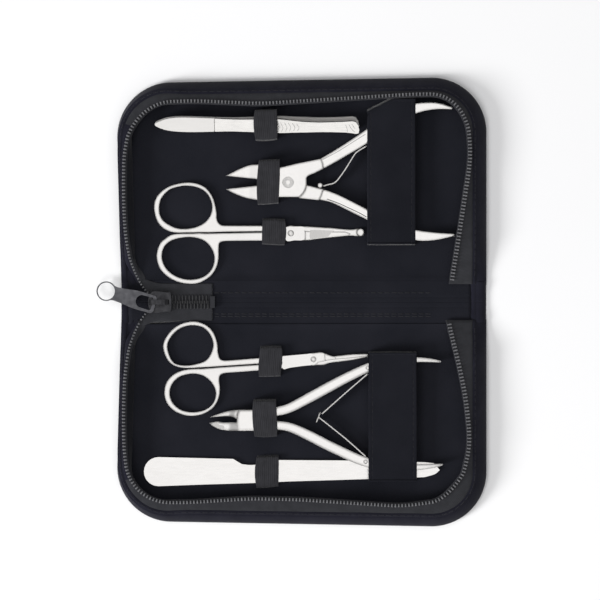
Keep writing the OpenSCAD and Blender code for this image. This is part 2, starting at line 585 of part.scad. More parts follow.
module nail_nipper_half() {
    color(steel) at(nail_nipper_at) lever_layers(nail_lap_r, 6.4, 9, true) {
        jaw(concat([nail_reach * [-cos(nail_gap / 2), -sin(nail_gap / 2)]],
            [[0, 0], [-2, -6.2]],
            curve([[-4, -6.4], [-9, -7.6], [-13.4, -7.7], [-19, -6.6], [-24, -4.7],
                nail_reach * [-cos(nail_gap / 2), -sin(nail_gap / 2)]], 3)), nail_reach, 2.6, 8);
        slab(nipper_mid - handle_t / 2, tool_z + nipper_t) polygon(concat(
            [[-3.5, 5.6], [-3.4, 6.5], [4.8, 8.4], [14.4, 10.3], [15.2, 8.2], [15.4, 6]],
            curve([[11.5, 4], [9.4, 3.2], [8.2, 2.2], [7.8, 1]], 4), [[2, 1]]
        ));
        handle([[12, 7.3, 4.4], [15, 8.3, 4.4], [23.5, 13.2, 4.6], [34.5, 20.1, 5.2],
            [44.5, 27.3, 5], [53.5, 31.7, 4.6], [60, 33.3, 3.6], [66, 33.6, 2.6], [72.2, 32.6, 0.8]]);
    }
}
module nail_nipper_moving_half() {
    color(steel) at(nail_nipper_at) lever_layers(nail_lap_r, 6.4, 9, false) {
        jaw(concat([nail_reach * [-cos(nail_gap / 2), sin(nail_gap / 2)]],
            [[0, 0], [-2, 6.2]],
            curve([[-4, 6.4], [-9, 7.5], [-15.9, 7.7], [-21, 6], [-25, 4],
                nail_reach * [-cos(nail_gap / 2), sin(nail_gap / 2)]], 3)), nail_reach, 2.6, 8);
        slab(nipper_mid - handle_t / 2, tool_z + nipper_t - 0.3) polygon([
            [2, -3], [5, -6.9], [13.6, -7.8], [14.6, -5.6], [15.4, -3.1], [11.8, -2.2], [8, -1.2]
        ]);
        handle([[12, -4.9, 4.8], [15, -5.4, 4.6], [20, -6.9, 4.2], [26.5, -10, 4.2],
            [36.5, -15.1, 4], [46, -20.2, 4], [55.6, -23.1, 4.4], [64, -23.7, 3.4], [73, -23.1, 0.9]]);
    }
}
module nail_nipper_pin() { at(nail_nipper_at) nipper_pin(2.5); }
spring_half_h = 1.2;
spring_t = 0.55;
module leaf(points) {
    slab(nipper_mid - spring_half_h, nipper_mid + spring_half_h)
        polygon(band([for (p = curve(points, 5)) [p[0], p[1], spring_t]]));
}
nail_screw_at = [14.1, -1.3];
module nail_nipper_spring() {
    color(steel) at(nail_nipper_at) {
        leaf([[15.5, -1.6], [17.8, -0.9], [20.9, 0.2], [24.8, 5.2], [29, 11.9], [30.6, 13.6], [34.4, 15.9]]);
    }
}
module nail_nipper_spring_screw() {
    color(steel) at(nail_nipper_at) translate([nail_screw_at[0], nail_screw_at[1], 0]) {
        translate([0, 0, nipper_mid - 1.3]) cylinder(r = 1.05, h = 2.9);
    }
}

cuticle_reach = 23.1;
module cuticle_nipper_half() {
    color(steel) at(cuticle_nipper_at) lever_layers(cuticle_lap_r, 4.5, 4.2, true) {
        jaw(concat([cuticle_reach * [-cos(cuticle_gap / 2), -sin(cuticle_gap / 2)]],
            curve([[-21.3, -1], [-19.5, -0.7], [-17.3, -1.1], [-12.8, -1], [-11, -0.9]], 3),
            [[0, 0], [-1, -4.3]],
            curve([[-4, -4.6], [-12, -4.7], [-15.1, -4.6], [-18.4, -4.1], [-21.3, -2.9],
                cuticle_reach * [-cos(cuticle_gap / 2), -sin(cuticle_gap / 2)]], 3)), cuticle_reach, 1.6, 10);
        handle([[3, 3, 3.4], [7, 3.9, 3.8], [12.4, 5.4, 4], [21.2, 10, 4.3], [30, 14.8, 4.3],
            [38.8, 19.4, 4.1], [48.3, 23.7, 3.7], [58, 26.4, 3], [68.2, 26.6, 2.1], [74, 26.3, 1.6],
            [78.6, 25.7, 0.7]]);
    }
}
module cuticle_nipper_moving_half() {
    color(steel) at(cuticle_nipper_at) lever_layers(cuticle_lap_r, 4.5, 4.2, false) {
        jaw(concat([cuticle_reach * [-cos(cuticle_gap / 2), sin(cuticle_gap / 2)]],
            curve([[-18.6, 1.6], [-15.2, 1.8], [-12.6, 1.3], [-11, 0.6]], 3),
            [[0, 0], [-1, 4.1]],
            curve([[-3, 4.4], [-10.2, 4.5], [-14, 4.1], [-18.4, 2.9],
                cuticle_reach * [-cos(cuticle_gap / 2), sin(cuticle_gap / 2)]], 3)), cuticle_reach, 1.6, 10);
        handle([[3, -2.6, 3.2], [7, -2.3, 3.6], [13, -3.4, 3.9], [21.2, -7.1, 4.3], [30, -11.6, 4.3],
            [41.7, -17, 4.2], [48, -19, 4], [57, -20.8, 3.4], [66.9, -20.8, 2.7], [74, -20.3, 2],
            [79.5, -19.6, 0.7]]);
    }
}
module cuticle_nipper_pin() { at(cuticle_nipper_at) nipper_pin(1.9); }
module cuticle_nipper_spring() {
    color(steel) at(cuticle_nipper_at)
        leaf([[46.5, 20.3], [38, 13], [32, 7.7], [26.4, 2.7]]);
}
module cuticle_nipper_moving_spring() {
    color(steel) at(cuticle_nipper_at)
        leaf([[45.6, -16], [38, -9.2], [32, -4.3], [24.9, 1.3]]);
    color(steel) at(cuticle_nipper_at) leaf([[25.6, 3.4], [24.9, 1.3], [23.9, -1]]);
}
module spring_screw() {
    translate([0, 0, nipper_mid + handle_t / 2 + 0.02]) cylinder(r = 1, h = 0.25);
}
module cuticle_nipper_spring_screw() {
    color(steel) at(cuticle_nipper_at + [46.6, 23]) spring_screw();
}
module cuticle_nipper_moving_spring_screw() {
    color(steel) at(cuticle_nipper_at + [45.6, -18.3]) spring_screw();
}

// Tweezers: two bent leaf arms welded at their left end and rolled towards the front
tweezer_weld = -37.8;
tweezer_drop = tweezer_w / 2 * sin(tweezer_roll) + (tweezer_gap / 2 + tweezer_t - 0.35) * cos(tweezer_roll) + 0.36;
module rolled() {
    translate([tweezer_at[0], tweezer_at[1], tool_z + tweezer_drop]) rotate([tweezer_roll, 0, 0]) children();
}
// Outline of an arm seen on its face: X along the tweezers, Y across the arm
module tweezer_face(x0) {
    polygon(concat(smooth([
        [x0, 0], [-61.4, -tweezer_w * 0.28], [-57, -tweezer_w * 0.46], [-50, -tweezer_w * 0.54],
        [-40, -tweezer_w * 0.52], [-30, -tweezer_w * 0.46], [-20, -tweezer_w * 0.5], [-10, -tweezer_w * 0.54],
        [0, -tweezer_w * 0.44], [10, -tweezer_w * 0.4], [20, -tweezer_w * 0.44], [25.4, -tweezer_w * 0.5],
        [24.2, tweezer_w * 0.34], [18, tweezer_w * 0.36], [8, tweezer_w * 0.32], [-2, tweezer_w * 0.4],
        [-10, tweezer_w * 0.5], [-20, tweezer_w * 0.46], [-30, tweezer_w * 0.44], [-40, tweezer_w * 0.5],
        [-52, tweezer_w * 0.56], [-58, tweezer_w * 0.48], [-62, tweezer_w * 0.26]
    ], 3)));
}
// Side view of an arm: X along the tweezers, Y out from the weld plane
function arm_side(x0) = [
    [x0, 0.05], [tweezer_weld, 0.05], [-26, 0.5], [-12, 0.75], [2, tweezer_gap / 2],
    [26.4, tweezer_gap / 2 - 0.1], [26.4, tweezer_gap / 2 + tweezer_t - 0.1],
    [2, tweezer_gap / 2 + tweezer_t], [-12, 0.75 + tweezer_t], [-26, 0.5 + tweezer_t],
    [tweezer_weld, 0.05 + tweezer_t], [x0, 0.05 + tweezer_t]
];
module tweezer_arm(x0, side) {
    intersection() {
        translate([0, 0, -10]) linear_extrude(20) tweezer_face(-64.2);
        translate([0, 20, 0]) rotate([90, 0, 0]) linear_extrude(40)
            polygon([for (p = arm_side(x0)) [p[0], side * p[1]]]);
    }
}
module tweezer_back_arm() {
    color(steel) rolled() {
        tweezer_arm(-66, -1);
        intersection() {
            translate([0, 0, -10]) linear_extrude(20) tweezer_face(-64.2);
            translate([-66, -10, -0.1]) cube([66 + tweezer_weld - 0.3, 20, 0.1 + tweezer_t]);
        }
    }
}
module tweezer_front_arm() { color(steel) rolled() tweezer_arm(tweezer_weld, 1); }

// Flat file with a round pusher end and a cut-away neck
module nail_file() {
    color(steel) at(file_at) slab(tool_z, tool_z + file_t) polygon(concat(
        [for (a = [90:15:270]) [-62.7 + 6.4 * cos(a), -75.3 + 6.4 * sin(a)]],
        [[-43.5, -81], [-20.6, -80.3], [-4.8, -79.6], [48.3, -78]],
        curve([[54.6, -77.7], [59, -76.4], [61.2, -74.6]], 3),
        curve([[59.6, -72.6], [55, -71.2], [20.6, -70.4]], 3),
        [[-9.2, -70.2]],
        curve([[-17, -71.6], [-21.6, -72.4], [-26, -72]], 3),
        [[-29.8, -69.7]]
    ));
}

lower_cover();
lower_board();
lower_lining();
lower_zip_tape();
lower_zip_teeth();
upper_cover();
upper_board();
upper_lining();
upper_zip_tape();
upper_zip_teeth();
spine_cover();
spine_board();
spine_lining();
joined_zip_tape();
joined_zip_teeth();
zip_bottom_stop();
zip_slider();
zip_pull();
tweezer_loop();
nail_nipper_loop();
ball_scissor_loop();
cuticle_scissor_loop();
cuticle_nipper_loop();
file_loop();
upper_handle_strap();
lower_handle_strap();
ball_scissor_blade();
ball_scissor_moving_blade();
ball_scissor_screw();
cuticle_scissor_blade();
cuticle_scissor_moving_blade();
cuticle_scissor_screw();
nail_nipper_half();
nail_nipper_moving_half();
nail_nipper_pin();
nail_nipper_spring();
nail_nipper_spring_screw();
cuticle_nipper_half();
cuticle_nipper_moving_half();
cuticle_nipper_pin();
cuticle_nipper_spring();
cuticle_nipper_moving_spring();
cuticle_nipper_spring_screw();
cuticle_nipper_moving_spring_screw();
tweezer_back_arm();
tweezer_front_arm();
nail_file();
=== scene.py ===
import json
import math

import bmesh
import bpy
import numpy as np
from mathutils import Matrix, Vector, noise
from mathutils.bvhtree import BVHTree
from mathutils.geometry import delaunay_2d_cdt


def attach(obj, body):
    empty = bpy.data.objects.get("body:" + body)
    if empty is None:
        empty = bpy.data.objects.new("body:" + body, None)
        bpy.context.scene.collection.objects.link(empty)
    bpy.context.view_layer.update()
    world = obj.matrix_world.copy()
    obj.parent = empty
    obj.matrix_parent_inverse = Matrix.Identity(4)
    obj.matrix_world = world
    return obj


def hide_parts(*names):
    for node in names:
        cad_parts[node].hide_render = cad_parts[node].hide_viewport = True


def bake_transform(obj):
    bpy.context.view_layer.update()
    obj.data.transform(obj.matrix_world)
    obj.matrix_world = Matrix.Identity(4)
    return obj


# Lengths are in millimetres, in the frame of the CAD model. make() turns them into metres.
MM = 0.001
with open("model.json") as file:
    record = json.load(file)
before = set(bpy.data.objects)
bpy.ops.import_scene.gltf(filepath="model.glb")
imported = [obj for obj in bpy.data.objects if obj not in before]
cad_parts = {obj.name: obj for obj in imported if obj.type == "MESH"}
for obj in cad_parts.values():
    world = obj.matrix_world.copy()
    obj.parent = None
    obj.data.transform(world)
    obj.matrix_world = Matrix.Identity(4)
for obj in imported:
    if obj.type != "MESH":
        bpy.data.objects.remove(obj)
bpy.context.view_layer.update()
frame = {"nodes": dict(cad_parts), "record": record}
nodes = frame["nodes"]

# Driving sizes, the same as in the CAD source
case_w = 160.8
half_left = 96.3
half_right = 99.2
fold = 7.4
left_bulge = 2.4
left_x = -79.1
right_x = left_x + case_w
panel_z = 1.3
mid_plane = panel_z + fold
teeth_top = mid_plane - 0.15
tooth_pitch = 1.5
tooth_t = 1
tape_t = 0.4
elastic_t = 0.6
strap_t = 0.7
scissor_t = 1.5
nipper_t = 5
handle_t = 2.6
file_t = 1
tool_z = panel_z + 0.1
rim_top = mid_plane - 2.1
over_tool = 0.3
scissor_top = tool_z + scissor_t + over_tool + elastic_t
nipper_top = tool_z + nipper_t + over_tool + elastic_t
file_top = tool_z + file_t + over_tool + elastic_t
tweezer_top = 9.1
handle_top = tool_z + nipper_t / 2 + handle_t / 2
strap_top = handle_top + 0.35 + strap_t

# The padded corners are drawn rounder than those of the CAD covers (20), as in the photograph
corner_r = 24


def lookup(x, table):
    """Straight-line interpolation in a table of [x, value] pairs."""
    return float(np.interp(x, [t[0] for t in table], [t[1] for t in table]))


def lerp(a, b, k):
    return a + (b - a) * k


def smoothstep(a, b, x):
    t = min(1, max(0, (x - a) / (b - a)))
    return t * t * (3 - 2 * t)


# Outline of a half, followed from the left end of its fold line round to the right end
outline_corners = [
    (left_x, fold), (left_x - left_bulge, half_left), (right_x, half_right), (right_x, fold),
]
corner = [np.array(c, float) for c in outline_corners]
headings = [math.atan2(*(corner[i + 1] - corner[i])[::-1]) for i in range(3)]
sides = [float(np.linalg.norm(corner[i + 1] - corner[i])) for i in range(3)]
turns = [headings[0] - headings[1], headings[1] - headings[2]]
cuts = [corner_r * math.tan(t / 2) for t in turns]
run_1 = sides[0] - cuts[0]
arc_1 = corner_r * turns[0]
end_1 = run_1 + arc_1
end_2 = end_1 + sides[1] - cuts[0] - cuts[1]
arc_2 = corner_r * turns[1]
end_3 = end_2 + arc_2
edge_len = end_3 + sides[2] - cuts[1]


def ahead(h):
    """Unit vector along heading h."""
    return np.array([math.cos(h), math.sin(h)])


def inward(h):
    """Unit vector square to heading h, into the half."""
    return np.array([math.sin(h), -math.cos(h)])


def on_arc(start, h, d):
    """Point and heading at distance d along a corner that starts with heading h."""
    turned = h - d / corner_r
    return start + corner_r * (inward(h) - inward(turned)), turned


def edge_at(d):
    """Point and heading at distance d along the outline."""
    p1 = corner[0] + run_1 * ahead(headings[0])
    p2 = on_arc(p1, headings[0], arc_1)[0]
    p3 = p2 + (end_2 - end_1) * ahead(headings[1])
    p4 = on_arc(p3, headings[1], arc_2)[0]
    if d < run_1:
        return corner[0] + d * ahead(headings[0]), headings[0]
    if d < end_1:
        return on_arc(p1, headings[0], d - run_1)
    if d < end_2:
        return p2 + (d - end_1) * ahead(headings[1]), headings[1]
    if d < end_3:
        return on_arc(p3, headings[1], d - end_2)
    return p4 + (d - end_3) * ahead(headings[2]), headings[2]


def inset_at(d, inset):
    p, h = edge_at(d)
    return p + inset * inward(h)


def rim_inset(d):
    return lookup(d, [[0, 2.4], [run_1 - 6, 2.4], [end_1 + 8, 5.7], [end_2, 5.9], [end_3, 6.3]])


def foot_inset(d):
    return lookup(d, [[0, 6.3], [run_1, 6.3], [end_1, 6.6], [end_2, 6.8], [end_3, 7]])


# Where the teeth of the opened tape lie, which sags in its own way on each half: distance along the
# outline, inset from it
throat_insets = [[0, 8.8], [6, 6], [12.5, 4], [23, 2.7], [33, 2.4], [48, 2.6], [run_1 - 5, 3.3]]
teeth_insets = {
    1: throat_insets + [
        [run_1 + 7, 6.8], [run_1 + 19, 8.5], [end_1 - 7, 8.9], [end_1 + 10, 8.5], [end_1 + 39, 10.3],
        [end_2 - 9, 7.4], [end_2, 7.4], [end_2 + 23, 8.6],
        [end_3 - 7, 8.6], [end_3 + 7, 7.2], [end_3 + 13, 7.3], [edge_len, 15.5],
    ],
    -1: throat_insets + [
        [run_1 + 7, 5.5], [run_1 + 19, 7.3], [end_1 - 7, 8.6], [end_1 + 8, 8.9], [end_1 + 35, 11.1],
        [end_1 + 57, 11], [end_2 - 13, 8.9], [end_2, 11], [end_2 + 16, 12.9],
        [end_3 - 12, 12.7], [end_3 - 4, 11.4], [end_3 + 7, 8.2], [end_3 + 15, 7.4],
        [edge_len - 35, 9.2], [edge_len - 21, 12], [edge_len, 17],
    ],
}


def teeth_inset(d, side):
    """The table's inset, smoothed over 5 mm each way except near the throat."""
    around = [min(edge_len, max(0, d + k)) for k in (-5, -2.5, 0, 2.5, 5)]
    if d < 20:
        around = [d]
    return sum(lookup(a, teeth_insets[side]) for a in around) / len(around)


def rim_z(d):
    return lookup(d, [
        [0, panel_z + 0.3], [4.6, panel_z + 0.5], [20.5, rim_top],
        [edge_len - 17, rim_top], [edge_len - 0.4, panel_z + 1.2],
    ])


def teeth_z(d):
    return lookup(d, [
        [0, panel_z + 0.6], [4.5, panel_z + 0.9], [16, teeth_top - tooth_t - 0.8],
        [24, teeth_top - tooth_t], [edge_len - 24, teeth_top - tooth_t],
        [edge_len - 14, teeth_top - tooth_t - 1.2], [edge_len, panel_z + 1.4],
    ])


def spread(start, stop, step):
    """Even distances from start to just before stop."""
    n = max(1, math.ceil((stop - start) / step))
    return [start + (stop - start) * i / n for i in range(n)]


def stations(start, stop, straight, arc):
    """Distances from start to stop, with steps of straight along the sides and arc round the corners."""
    marks = [start] + [m for m in (run_1, end_1, end_2, end_3) if start < m < stop] + [stop]
    out = []
    for a, b in zip(marks, marks[1:]):
        middle = (a + b) / 2
        on_a_corner = run_1 < middle < end_1 or end_2 < middle < end_3
        out += spread(a, b, arc if on_a_corner else straight)
    return out + [stop]


least_width = 10.05


def cloth(piece, width, length):
    """Works out the flat size that a thin closed piece was cut to; the size is not kept or used."""
    area = sum(f.area for f in piece.data.polygons) / 2
    width = max(width, least_width)
    length = max(length, area / MM / MM / width * 1.02)


def curve(points, n):
    """Points of an open Catmull-Rom curve through the given points, n to each stretch."""
    p = [np.array(q, float) for q in points]
    p = [2 * p[0] - p[1]] + p + [2 * p[-1] - p[-2]]
    out = []
    for i in range(1, len(p) - 2):
        a, b, c, e = p[i - 1: i + 3]
        for k in range(n):
            t = k / n
            out.append(0.5 * (2 * b + (c - a) * t + (2 * a - 5 * b + 4 * c - e) * t * t
                              + (3 * b - a - 3 * c + e) * t ** 3))
    return out + [p[-2]]


# Building meshes

def make(name, parts, material, body=None, replaces=(), smooth=True):
    """A mesh object from (points, faces, uv) in millimetres; uv has one (u, v) a point, or is None."""
    verts, faces, uv = parts
    mesh = bpy.data.meshes.new(name)
    mesh.from_pydata([tuple(float(c) * MM for c in v) for v in verts], [], [tuple(f) for f in faces])
    mesh.update()
    if smooth:
        mesh.shade_smooth()
    if uv is not None:
        layer = mesh.uv_layers.new(name="UVMap")
        where = np.empty(len(mesh.loops), np.int32)
        mesh.loops.foreach_get("vertex_index", where)
        layer.data.foreach_set("uv", (np.array(uv, np.float32) * MM)[where].ravel())
    mesh.materials.append(material)
    piece = bpy.data.objects.new(name, mesh)
    bpy.context.scene.collection.objects.link(piece)
    if body:
        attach(piece, body)
    if replaces:
        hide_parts(*replaces)
    return piece


def along(points):
    """Distance of each point along the line through them."""
    p = np.array(points, float)
    return np.concatenate([[0], np.cumsum(np.linalg.norm(p[1:] - p[:-1], axis=1))])


def at_length(points, runs, s):
    """Point at distance s along a line whose along() is runs."""
    p = np.array(points, float)
    return np.array([np.interp(s, runs, p[:, k]) for k in range(3)])


def loft(rings):
    """Points, faces and uv of a closed surface through rings of equal point count, capped at its ends."""
    rings = [[np.array(p, float) for p in r] for r in rings]
    n, m = len(rings), len(rings[0])
    verts = [p for r in rings for p in r]
    faces = [(i * m + j, (i + 1) * m + j, (i + 1) * m + (j + 1) % m, i * m + (j + 1) % m)
             for i in range(n - 1) for j in range(m)]
    faces += [tuple(range(m)), tuple(range(n * m - 1, (n - 1) * m - 1, -1))]
    lengthways = along([r[m // 2] for r in rings])
    crossways = along(rings[n // 2])
    uv = [(lengthways[i], crossways[j]) for i in range(n) for j in range(m)]
    return verts, faces, uv


def flip(faces):
    return [tuple(reversed(f)) for f in faces]


def join(parts):
    """Several (points, faces, uv) as one."""
    verts, faces, uv = [], [], []
    for v, f, t in parts:
        k = len(verts)
        verts += list(v)
        faces += [tuple(i + k for i in g) for g in f]
        uv += list(t)
    return verts, faces, uv


def tube(points, radius):
    """A round tube along points."""
    p = [np.array(q, float) for q in points]
    last = len(p) - 1
    rings = []
    for i in range(last + 1):
        t = p[min(i + 1, last)] - p[max(i - 1, 0)]
        t /= max(1e-9, np.linalg.norm(t))
        up = np.array([0, 0, 1.0]) if abs(t[2]) < 0.9 else np.array([0, 1.0, 0])
        side = np.cross(up, t)
        side /= np.linalg.norm(side)
        up = np.cross(t, side)
        rings.append([p[i] + radius * (math.cos(w) * side + math.sin(w) * up)
                      for w in np.linspace(0, 2 * math.pi, 6, endpoint=False)])
    verts, faces, uv = loft(rings)
    return verts, flip(faces), uv


def stitches(points, length, gap, radius, rise):
    """A row of sewn stitches along a line, each a short arched thread."""
    runs = along(points)
    parts = []
    s = gap / 2
    while s + length < runs[-1]:
        thread = []
        for k in np.linspace(0, 1, 5):
            x, y, z = at_length(points, runs, s + length * k)
            thread.append((x, y, z + rise * (2.2 * math.sin(math.pi * k) - 1)))
        parts.append(tube(thread, radius))
        s += length + gap
    return join(parts)


def on_half(side, parts):
    """A surface made for the upper half, mirrored to the lower one where side is -1."""
    if side == 1:
        return parts
    verts, faces, uv = parts
    return [(v[0], -v[1], v[2]) for v in verts], flip(faces), uv


def wobble(p, size, amount, seed):
    """Smooth unevenness of the given amount, with waves of about the given size."""
    return amount * noise.noise(Vector((p[0] / size + seed, p[1] / size - seed, p[2] / size)))


# Materials

class Mat:
    """A Principled material with small helpers for its texture nodes."""

    def __init__(self, name, rough, metal=0.0, specular=0.5, sheen=0.0, sheen_rough=0.5):
        self.mat = bpy.data.materials.new(name)
        self.mat.use_nodes = True
        self.tree = self.mat.node_tree
        self.bsdf = self.tree.nodes["Principled BSDF"]
        self.bsdf.inputs["Roughness"].default_value = rough
        self.bsdf.inputs["Metallic"].default_value = metal
        self.bsdf.inputs["Specular IOR Level"].default_value = specular
        self.bsdf.inputs["Sheen Weight"].default_value = sheen
        self.bsdf.inputs["Sheen Roughness"].default_value = sheen_rough
        self.height = None

    def node(self, kind, **settings):
        n = self.tree.nodes.new(kind)
        for key, value in settings.items():
            setattr(n, key, value)
        return n

    def link(self, a, b):
        self.tree.links.new(a, b)

    def coords(self, kind, stretch=(1, 1, 1)):
        """Object or UV coordinates; a stretch under 1 draws the texture out that way."""
        where = self.node("ShaderNodeTexCoord").outputs[kind]
        mapping = self.node("ShaderNodeMapping")
        mapping.inputs["Scale"].default_value = stretch
        self.link(where, mapping.inputs["Vector"])
        return mapping.outputs["Vector"]

    def noise(self, scale, detail, stretch=(1, 1, 1)):
        n = self.node("ShaderNodeTexNoise")
        n.inputs["Scale"].default_value = scale
        n.inputs["Detail"].default_value = detail
        self.link(self.coords("Object", stretch), n.inputs["Vector"])
        return n.outputs["Fac"]

    def wave(self, scale, direction):
        """Parallel ribs in the piece's own uv."""
        n = self.node("ShaderNodeTexWave", bands_direction=direction)
        n.inputs["Scale"].default_value = scale
        self.link(self.coords("UV"), n.inputs["Vector"])
        return n.outputs["Fac"]

    def ramp(self, fac, stops, socket="Base Color"):
        """Turns a texture into a colour or number; stops are (position, value)."""
        n = self.node("ShaderNodeValToRGB")
        el = n.color_ramp.elements
        while len(el) < len(stops):
            el.new(0.5)
        for e, (pos, col) in zip(el, stops):
            e.position = pos
            e.color = (*col, 1) if hasattr(col, "__len__") else (col, col, col, 1)
        self.link(fac, n.inputs["Fac"])
        self.link(n.outputs["Color"], self.bsdf.inputs[socket])

    def bump(self, height, distance, strength):
        """Adds relief over what is there; distance is in metres."""
        n = self.node("ShaderNodeBump")
        n.inputs["Distance"].default_value = distance
        n.inputs["Strength"].default_value = strength
        self.link(height, n.inputs["Height"])
        if self.height is not None:
            self.link(self.height, n.inputs["Normal"])
        self.height = n.outputs["Normal"]
        self.link(self.height, self.bsdf.inputs["Normal"])


def cover_cloth():
    m = Mat("cover_cloth", 0.82, specular=0.2, sheen=0.06, sheen_rough=0.5)
    m.ramp(m.noise(160, 5), [(0.3, (0.0069, 0.0069, 0.0125)), (0.75, (0.0118, 0.0118, 0.0193))])
    m.bump(m.noise(2600, 3), 0.00012, 0.7)
    m.bump(m.noise(350, 2), 0.00018, 0.4)
    return m.mat


def lining_velvet():
    m = Mat("lining_velvet", 0.92, specular=0.12, sheen=0.1, sheen_rough=0.35)
    m.ramp(m.noise(45, 4), [(0.3, (0.0103, 0.011, 0.0152)), (0.72, (0.0148, 0.0153, 0.0205))])
    m.bump(m.noise(3800, 2, stretch=(1, 0.45, 1)), 0.00018, 0.8)
    m.bump(m.noise(120, 3), 0.0003, 0.25)
    return m.mat


def strap_velvet():
    m = Mat("strap_velvet", 0.9, specular=0.14, sheen=0.16, sheen_rough=0.35)
    m.ramp(m.noise(60, 4), [(0.3, (0.0083, 0.0088, 0.0123)), (0.72, (0.0123, 0.0128, 0.0173))])
    m.bump(m.noise(3800, 2, stretch=(0.45, 1, 1)), 0.00018, 0.8)
    return m.mat


def elastic_web():
    m = Mat("elastic_web", 0.7, specular=0.35, sheen=0.15, sheen_rough=0.5)
    m.ramp(m.noise(260, 4), [(0.3, (0.0152, 0.0152, 0.0182)), (0.75, (0.0271, 0.0271, 0.0317))])
    m.bump(m.wave(480, "Y"), 0.00009, 0.6)
    m.bump(m.wave(900, "X"), 0.00005, 0.5)
    return m.mat


def zip_tape():
    m = Mat("zip_tape", 0.72, specular=0.35, sheen=0.1, sheen_rough=0.5)
    m.ramp(m.noise(300, 4), [(0.3, (0.0163, 0.0169, 0.0202)), (0.75, (0.0247, 0.0254, 0.0299))])
    m.bump(m.wave(420, "DIAGONAL"), 0.00004, 0.6)
    m.bump(m.wave(700, "X"), 0.00005, 0.6)
    return m.mat


def thread():
    m = Mat("sewing_thread", 0.55, specular=0.4, sheen=0.1)
    m.ramp(m.noise(900, 3), [(0.3, (0.01, 0.01, 0.0131)), (0.75, (0.0175, 0.0175, 0.0219))])
    m.bump(m.noise(5000, 1), 0.00004, 0.6)
    return m.mat


def moulded_teeth(name, light, rough):
    m = Mat(name, rough, specular=0.6)
    dark = light * 0.62
    m.ramp(m.noise(700, 3), [(0.3, (dark, dark, dark * 1.08)), (0.75, (light, light, light * 1.06))])
    m.ramp(m.noise(1500, 2), [(0.3, rough * 0.85), (0.7, rough * 1.2)], "Roughness")
    return m.mat


def gunmetal(name, dark, light):
    m = Mat(name, 0.36, metal=0.85, specular=0.5)
    m.ramp(m.noise(420, 5), [(0.3, (dark, dark, dark * 1.1)), (0.72, (light, light, light * 1.08))])
    m.ramp(m.noise(900, 4), [(0.3, 0.28), (0.7, 0.48)], "Roughness")
    m.bump(m.noise(2600, 3), 0.00003, 0.5)
    return m.mat


def steel(name, stretch, rough, base, grain=0.2, scale=1500, rounding=0.0, metal=1.0):
    """Stainless steel whose fine polishing lines run along the axis with the small stretch."""
    m = Mat(name, rough, metal=metal)
    warm = (base, base * 0.978, base * 0.95)
    m.ramp(m.noise(70, 3), [(0.3, tuple(c * 0.965 for c in warm)), (0.7, warm)])
    m.ramp(m.noise(scale, 2, stretch), [(0.3, rough * 0.85), (0.7, rough * 1.15)], "Roughness")
    if rounding:
        soft = m.node("ShaderNodeBevel", samples=6)
        soft.inputs["Radius"].default_value = rounding * MM
        m.height = soft.outputs["Normal"]
    m.bump(m.noise(45, 2), 0.0004, 0.4)
    m.bump(m.noise(scale, 2, stretch), 0.000006, grain)
    return m.mat


# Material of the dark lines on the tools: real engraved lines, and lines of painted shade along edges.
def dark_line():
    m = Mat("engraved_and_painted_shadow_line", 0.45, metal=0.7)
    m.ramp(m.noise(900, 2), [(0.3, (0.05, 0.05, 0.053)), (0.7, (0.12, 0.12, 0.125))])
    return m.mat


def board():
    m = Mat("board", 0.8, specular=0.3)
    m.ramp(m.noise(500, 5), [(0.3, (0.38, 0.30, 0.2)), (0.7, (0.52, 0.42, 0.3))])
    m.bump(m.noise(900, 4), 0.0001, 0.4)
    return m.mat


M_cover = cover_cloth()
M_velvet = lining_velvet()
M_strap = strap_velvet()
M_elastic = elastic_web()
M_tape = zip_tape()
M_thread = thread()
M_teeth = moulded_teeth("moulded_teeth", 0.145, 0.38)
M_joined = moulded_teeth("joined_teeth", 0.036, 0.6)
M_gun = gunmetal("gunmetal", 0.09, 0.15)
M_slider = gunmetal("black_nickel", 0.037, 0.066)
M_board = board()
M_line = dark_line()
M_polish = steel("polished_steel", (0.3, 1, 1), 0.17, 0.9, rounding=1.1)
M_satin = steel("satin_steel", (0.15, 1, 1), 0.26, 0.97, 0.3)
M_forged = steel("forged_steel", (0.4, 1, 1), 0.22, 0.95, 0.25, rounding=1.3)
M_round = steel("rounded_steel", (0.4, 1, 1), 0.22, 0.95, 0.25, rounding=2.0)
# The tweezers' back arm is the same steel as the front one, made half matt and pale so that it shows bright
# where its mirror would only catch the front arm's dark underside: painted light.
M_back_painted_light = steel("back_arm_steel_painted_light", (0.15, 1, 1), 0.5, 0.78, 0.2, metal=0.3)
M_ground = steel("ground_steel", (1, 0.1, 1), 0.3, 0.66, 0.5, 2500)


# Camera, light and floor

# The camera looks straight down from CAMERA_MM above the middle of the photographed view, VIEW_MM across
VIEW_MM = 264
CAMERA_MM = 1500
view_x, view_y, view_z = -0.35, 0.9, 4
cam = bpy.data.cameras.new("camera")
cam.lens = cam.sensor_width * CAMERA_MM / VIEW_MM
cam.clip_start = 0.05
cam.clip_end = 20
camera = bpy.data.objects.new("camera", cam)
camera.location = (view_x * MM, view_y * MM, (CAMERA_MM + view_z) * MM)
bpy.context.scene.collection.objects.link(camera)
bpy.context.scene.camera = camera


def area_light(name, where, size, power):
    """A lamp that points at the case; its place and size are in metres."""
    data = bpy.data.lights.new(name, "AREA")
    data.energy = power
    data.size = size
    lamp = bpy.data.objects.new(name, data)
    lamp.location = where
    lamp.rotation_mode = "QUATERNION"
    lamp.rotation_quaternion = (-Vector(where)).to_track_quat("-Z", "Y")
    # Steel edges would sparkle if they mirrored the lamps, so they mirror only the studio round the case
    lamp.visible_glossy = False
    bpy.context.scene.collection.objects.link(lamp)


area_light("key", (-0.55, -0.6, 1.0), 0.5, 4)
area_light("low", (-4.0, -1.7, 1.8), 1.3, 235)


